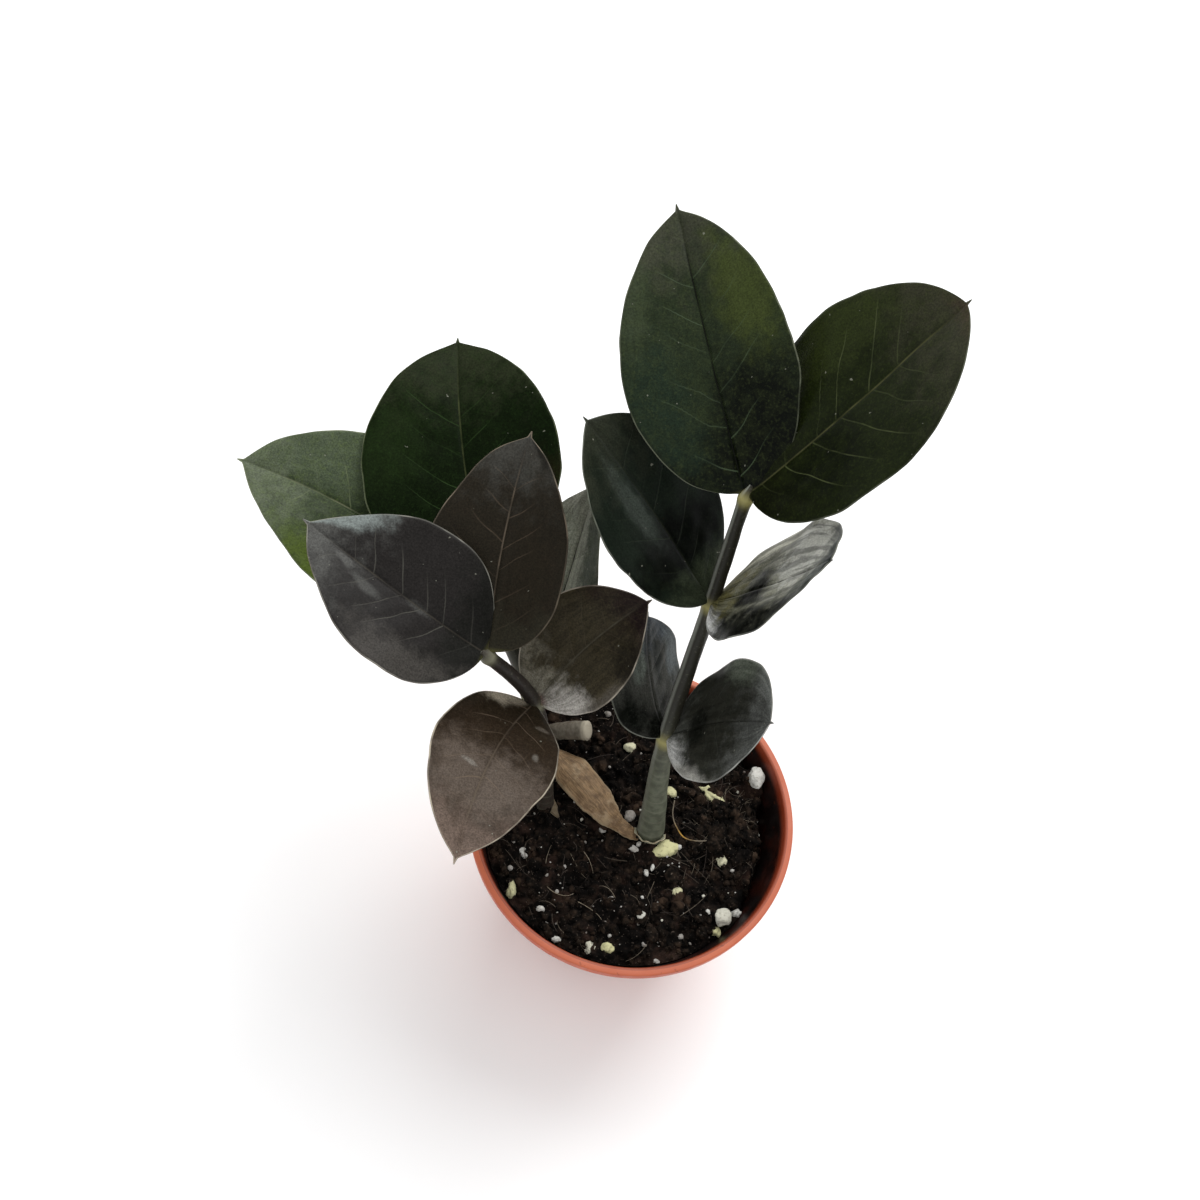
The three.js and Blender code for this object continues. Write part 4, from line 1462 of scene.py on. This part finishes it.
leaflet(
    "front_left_leaflet_4", **front_leaf, seed=10, at=2, heading=57, rise=44, roll=1, arch=-5, sweep=-23,
    length=44, width=30, taper=(0.56, 0.69), fold=13, pleats=0.1, vein_gap=0.14,
    # painted reflection: the silvery pale foot and the bright zones beside it on the right
    gloss=0.2, streaks=0.35, skin=((170, 164, 146), (84, 76, 57), (50, 35, 35)),
    zones=[
        ((250, 244, 234), (0.85, 0.12), (0.9, 0.24), 1),
        ((134, 126, 114), (1, 0.4), (0.24, 0.24), 0.85),
        ((30, 25, 15), (0.75, 0.68), (0.5, 0.18), 0.85),
        ((150, 108, 100), (0.2, 0.03), (0.6, 0.06), 0.7),
    ],
    mottle=(100, 92, 70), mottling=0.32, vein=(84, 76, 60), veining=0.5,
    midrib=(118, 112, 94), midrib_strength=0.75, margin=(190, 180, 164),
)

# Back left frond's leaflets
# Younger, greener leaflets: two large ones that lie low behind the others, and a narrow
# one lower on the stem, pale from its own grey-green and the painted reflection of the floor.

green_margin = (134, 140, 112)
green_back = underside_finish("green_underside", (96, 104, 76), green_margin)
back_leaf = dict(
    frond=back_left_frond, node="frond_back_left", slot="green_leaf", underside=green_back)

leaflet(
    "back_left_leaflet_1", **back_leaf, seed=11, at=3, heading=149, rise=8, roll=-8, arch=-6, sweep=27,
    length=78, width=46.5, taper=(0.57, 0.76), keen=0.5, fold=9, vein_gap=0.125,
    # painted sheen: the pale tip and the grey-green patch near it; painted shadow of the leaflet above:
    # the dark patch near the foot
    gloss=0.22, skin=((30, 34, 22), (54, 70, 38), (122, 132, 107)),
    zones=[
        ((100, 120, 42), (-0.85, 0.54), (0.45, 0.3), 0.88),
        ((104, 117, 92), (0.65, 0.7), (0.7, 0.26), 0.8),
        ((14, 21, 12), (0.3, 0.32), (0.8, 0.17), 0.88),
    ],
    mottle=(112, 130, 72), mottling=0.5, vein=(128, 138, 100),
    midrib=(142, 146, 112), margin=green_margin,
)
leaflet(
    "back_left_leaflet_2", **back_leaf, seed=12, at=3, heading=121, rise=28, roll=-20, arch=30, sweep=-11,
    length=77, width=53, taper=(0.78, 0.76), keen=0.55, fold=12, vein_gap=0.115,
    gloss=0.06, skin=((18, 24, 11), (22, 34, 13), (58, 64, 44)),
    zones=[
        ((52, 46, 26), (0.8, 0.36), (0.4, 0.16), 0.6),
        ((38, 54, 24), (-0.75, 0.62), (0.45, 0.2), 0.6),
    ],
    mottle=(50, 74, 34), mottling=0.35, vein=(60, 84, 44),
    midrib=(96, 102, 66), midrib_strength=0.75, margin=(96, 104, 76),
)
leaflet(
    "back_left_leaflet_3", **back_leaf, seed=13, at=2, heading=80, rise=46, roll=-42, arch=0, sweep=2,
    length=62, width=37.5, taper=(0.56, 0.8), fold=13, pleats=0.2,
    # the pale skin is partly its own grey-green and partly painted reflection of the floor; painted
    # reflection: the near-white zones; painted shade in its groove: the dark midrib
    gloss=0.14, streaks=0.3, skin=((110, 112, 98), (178, 180, 161), (170, 170, 155)),
    zones=[
        ((216, 220, 200), (-0.3, 0.6), (0.4, 0.26), 0.9),
        ((58, 68, 46), (0.7, 0.78), (0.5, 0.44), 0.92),
        ((216, 216, 200), (-0.85, 0.9), (0.35, 0.14), 0.85),
    ],
    mottle=(140, 144, 120), mottling=0.3, vein=(120, 124, 104), veining=0.3,
    midrib=(36, 38, 30), midrib_strength=0.95, margin=(116, 120, 104),
)

# Old frond's stump
# The foot of an earlier frond, cut off and dried to a grey skin. It bends over to the
# right and ends in a pale, rounded cut.

stump_points = [[-27.5, 18, 44], [-27.6, 20.9, 53], [-23, 21.1, 59], [-16.6, 20.9, 63]]
stump_radii = [2.3, 2.5, 2.5, 2.85]
stump_steps = 22
stump_sides = 36
stump_wrinkle = 0.12
cut_rounding = 0.9
cut_bulge = 0.35


def stump_finish(length):
    """Dry grey skin with lengthwise wrinkles, and a chalky end where it was cut."""
    material, tree, surface = new_finish("dried_stump", roughness=0.7)
    up, _, turn = surface_mark(tree, "stalk")
    wrinkle = fibrous(tree, (times(tree, up, 0.1), turn), 11, 5)
    wrinkled = eased_step(tree, wrinkle, 0.3, 0.7)
    colour = mingled(tree, wrinkled, paint(96, 88, 74), paint(124, 116, 101))
    colour = spotted(tree, colour, (74, 64, 50), 3, 0.5, 0.7, 0.5, detail=4)
    cut = eased_step(tree, up, length - 1.8, length - 0.5, 0, 0.8)
    colour = mingled(tree, cut, colour, paint(200, 190, 168))
    dressed(tree, surface, colour, wrinkle, 0.25)
    return material


def stump_rings():
    """Rings up the stump to its cut, how far up each ring lies, and the stump's marks.

    Its radius runs evenly between the given places and shrinks before the rim of the cut by
    rounding (1 - distance left / rounding)^2, and the cut bulges past its rim by one small ring.
    """
    path = smooth_line(stump_points, stump_steps)
    far = distance_along(path)
    left = np.append(far[-1] - far, 0)
    bulge = path[-1:] + cut_bulge * unit(path[-1:] - path[-2:-1])
    path = np.append(path, bulge, axis=0)
    far = np.append(far, far[-1] + cut_bulge)
    radius = np.interp(np.arange(len(path)), stump_steps * np.arange(len(stump_radii)), stump_radii)
    radius[-1] -= cut_rounding
    radius -= cut_rounding * np.clip(1 - left / cut_rounding, 0, 1) ** 2 * (left > 0)
    rings = tubes(path[None], radius, stump_sides, across=(0, 1, 0))
    outward = unit(rings - path[None, :, None])
    rings = rings + outward * stump_wrinkle * soft_noise(rings, 1.6, 8)[..., None]
    return rings, far, joined(far[:, None], 0, np.linspace(0, 1, stump_sides))[None]


stump_body, stump_far, stump_marks = stump_rings()
dry_skin = stump_finish(stump_far[-1])
built("stump_skin", stump_body, dry_skin, "cut_stump", {"stalk": stump_marks})

# Dry sheaths
# Papery scales that once wrapped the young fronds: a long one that has fallen over to the
# left, a small curled one, and the rest of a collar round the right frond's foot.

long_sheath = [
    # a point of the middle line, half the width there and how far the edges hang
    ([3.6, -3.6, 55.2], 1.3, 0.6),
    ([0.8, -3.3, 56.2], 1.9, 1.0),
    ([-2.3, -2.1, 57.4], 2.2, 1.2),
    ([-5.6, -0.5, 58.8], 3.6, 1.7),
    ([-10.6, 3.4, 60.1], 5.0, 2.3),
    ([-19, 10.2, 60], 5.3, 2.3),
    ([-25.2, 14.9, 58.6], 1.2, 0.3),
]
small_scale = [
    ([-27.6, 4.9, 55.2], 0.5, 0.2),
    ([-25.6, 2.9, 56.6], 1.3, 0.7),
    ([-23.4, 0.7, 57.1], 1.7, 0.9),
    ([-21.4, -1.6, 56.7], 1.4, 0.7),
    ([-19.5, -3.4, 55.6], 0.3, 0.2),
]
paper_half = 0.14  # half of the paper's thickness
sheath_steps = 26
sheath_columns = 33
collar_foot = (6.2, -1.2, 55.3)
collar_inside = 3.85
collar_turn = (185, 352)
collar_height = 2.0
collar_flare = 0.6
collar_columns = 44
collar_rows = 14


def paper_effect():
    """Dry plant paper: tan with darker fibres along it, brown blotches and pale torn edges.

    The mark called paper holds a place from edge to edge, -1 to 1, and one along the piece.
    """
    tree, given, made = effect("dry_paper", ["Colour", "Height"], tan=black, brown=black)
    across, along, _ = surface_mark(tree, "paper")
    fibre = fibrous(tree, (times(tree, across, 6.0), along), 2.2, 6, 0.7)
    colour = mingled(tree, eased_step(tree, fibre, 0.35, 0.62), given["Brown"], given["Tan"])
    colour = spotted(tree, colour, (88, 62, 36), 3, 0.46, 0.62, 0.55, 5, 0.65)
    colour = spotted(tree, colour, (196, 174, 138), 5, 0.52, 0.68, 0.45, 5, 0.65)
    edge = eased_step(tree, reckoned(tree, "ABSOLUTE", across), 0.86, 1.0, 0, 0.6)
    tree.links.new(mingled(tree, edge, colour, paint(186, 168, 136)), made["Colour"])
    tree.links.new(fibre, made["Height"])
    return tree


dry_paper = paper_effect()


def both_faces(front, back):
    """Rings that run over a front face and back over the other, as one body."""
    return np.concatenate([front, back[:, ::-1]], axis=1)[None]


def gutter(plan, seed):
    """A strip along a path with its edges hanging, as rings of an upper and a lower face.

    A point lies at centre + aside column half + up (lift - hang column^2), where up is aside
    crossed with the path. The half width is a little ragged, and each edge curls by noise.
    """
    points, half_widths, hang = map(np.array, zip(*plan))
    path = smooth_line(points, sheath_steps)
    along = unit(np.gradient(path, axis=0))
    aside = unit(joined(along[:, 1], -along[:, 0], 0))
    up = np.cross(aside, along)[:, None]
    place = np.arange(len(path))[:, None] / sheath_steps
    column = np.linspace(1, -1, sheath_columns)[None]
    half, drop = (np.interp(place, np.arange(len(plan)), width) for width in (half_widths, hang))
    ragged = joined(2.4 * place, np.sign(column) + 0.2 * column, float(seed))
    half = half * (1 + 0.05 * rough_noise(ragged, 0.8, seed) * column**2)
    flat = joined(column * half, 2.1 * place * half.mean(), 0.0)
    drop = drop * column**2 - 0.3 * soft_noise(flat, 1.9, seed)
    drop = drop - 0.12 * soft_noise(flat, 0.7, seed + 1)
    middle = path[:, None] + aside[:, None] * (column * half)[..., None]
    upper, lower = (middle + up * (lift - drop)[..., None] for lift in (paper_half, -paper_half))
    mark = joined(column, place, 0.0)
    return both_faces(upper, lower), both_faces(mark, mark)


def collar():
    """A scale wrapped part of the way round a foot: rings of its inner and outer faces.

    At a share s of the height the radius is inside + flare s^2, a little wavy, and the height
    of the torn upper edge follows sin(pi share of the turn)^0.5 and noise.
    """
    share = np.linspace(0, 1, collar_columns)[:, None]
    start, end = collar_turn
    angle = np.radians(start + (end - start) * share)
    up = np.linspace(0, 1, collar_rows)[None]
    torn = collar_height * np.sqrt(np.sin(np.pi * np.clip(share, 0.02, 0.98)))
    torn = torn * (1 + 0.3 * rough_noise(joined(9 * share[:, 0], 0, 0), 1.0, 6)[:, None])
    inner = collar_inside + collar_flare * up**2 + 0.2 * np.sin(9 * angle) * up
    faces = [
        collar_foot + joined(radius * np.cos(angle), radius * np.sin(angle), torn * up)
        for radius in (inner, inner + 2 * paper_half)
    ]
    mark = joined(2 * up - 1, 5 * share, 0.0)
    return both_faces(*faces), both_faces(mark, mark)


def papery(name, made, tan, brown, node=None):
    """A thin papery piece of two tones, from its rings and marks."""
    rings, marks = made
    tones = {"tan": paint(*tan), "brown": paint(*brown)}
    paper = effect_finish(name + "_paper", dry_paper, 0.3, tones, roughness=0.6)
    built(name, rings, paper, node, {"paper": marks})


papery("fallen_sheath", gutter(long_sheath, 4), (168, 136, 96), (112, 86, 56), "dry_sheath")
papery("curled_scale", gutter(small_scale, 9), (130, 114, 86), (74, 60, 42))
papery("foot_collar", collar(), (206, 208, 180), (150, 150, 122))

# Studio
# A wide pale floor under one large soft lamp that stands high behind the plant, and an
# even pale surround.

floor_outline = [[3000, -4], [3000, -0.05]]
floor_sides = 96
plant_middle = np.array([0, 20, 90])
lamp_place = np.array([200, 760, 1050])
lamp_size = 950
lamp_power = 13
floor_tones = (0.93, 0.93, 0.925, 1), (0.95, 0.95, 0.945, 1)
surround_tone = (0.98, 0.99, 1, 1)
surround_strength = 0.91


def floor_finish():
    """Matt pale paper, very slightly uneven in tone and in its surface."""
    material, tree, surface = new_finish("paper_floor", roughness=0.9)
    tone = patches(tree, 600, 0.3, 0.7, detail=2)
    dressed(tree, surface, mingled(tree, tone, *floor_tones), cloudy(tree, 2), 0.02)
    return material


floor_rings = turned(floor_outline, floor_sides)[None]
floor = placed("paper_floor", skin("paper_floor", floor_rings, smooth=False), floor_finish())

light = bpy.data.lights.new("soft_lamp", "AREA")
light.shape = "SQUARE"
light.size = lamp_size * mm
light.energy = lamp_power
lamp = bpy.data.objects.new("soft_lamp", light)
bpy.context.scene.collection.objects.link(lamp)
facing = (Vector(plant_middle * mm) - Vector(lamp_place * mm)).to_track_quat("-Z", "Y")
lamp.matrix_world = Matrix.Translation(lamp_place * mm) @ facing.to_matrix().to_4x4()

world = bpy.data.worlds.new("pale_surround")
world.use_nodes = True
world.node_tree.nodes["Background"].inputs["Color"].default_value = surround_tone
world.node_tree.nodes["Background"].inputs["Strength"].default_value = surround_strength
bpy.context.scene.world = world
bpy.context.scene.view_settings.view_transform = "Standard"
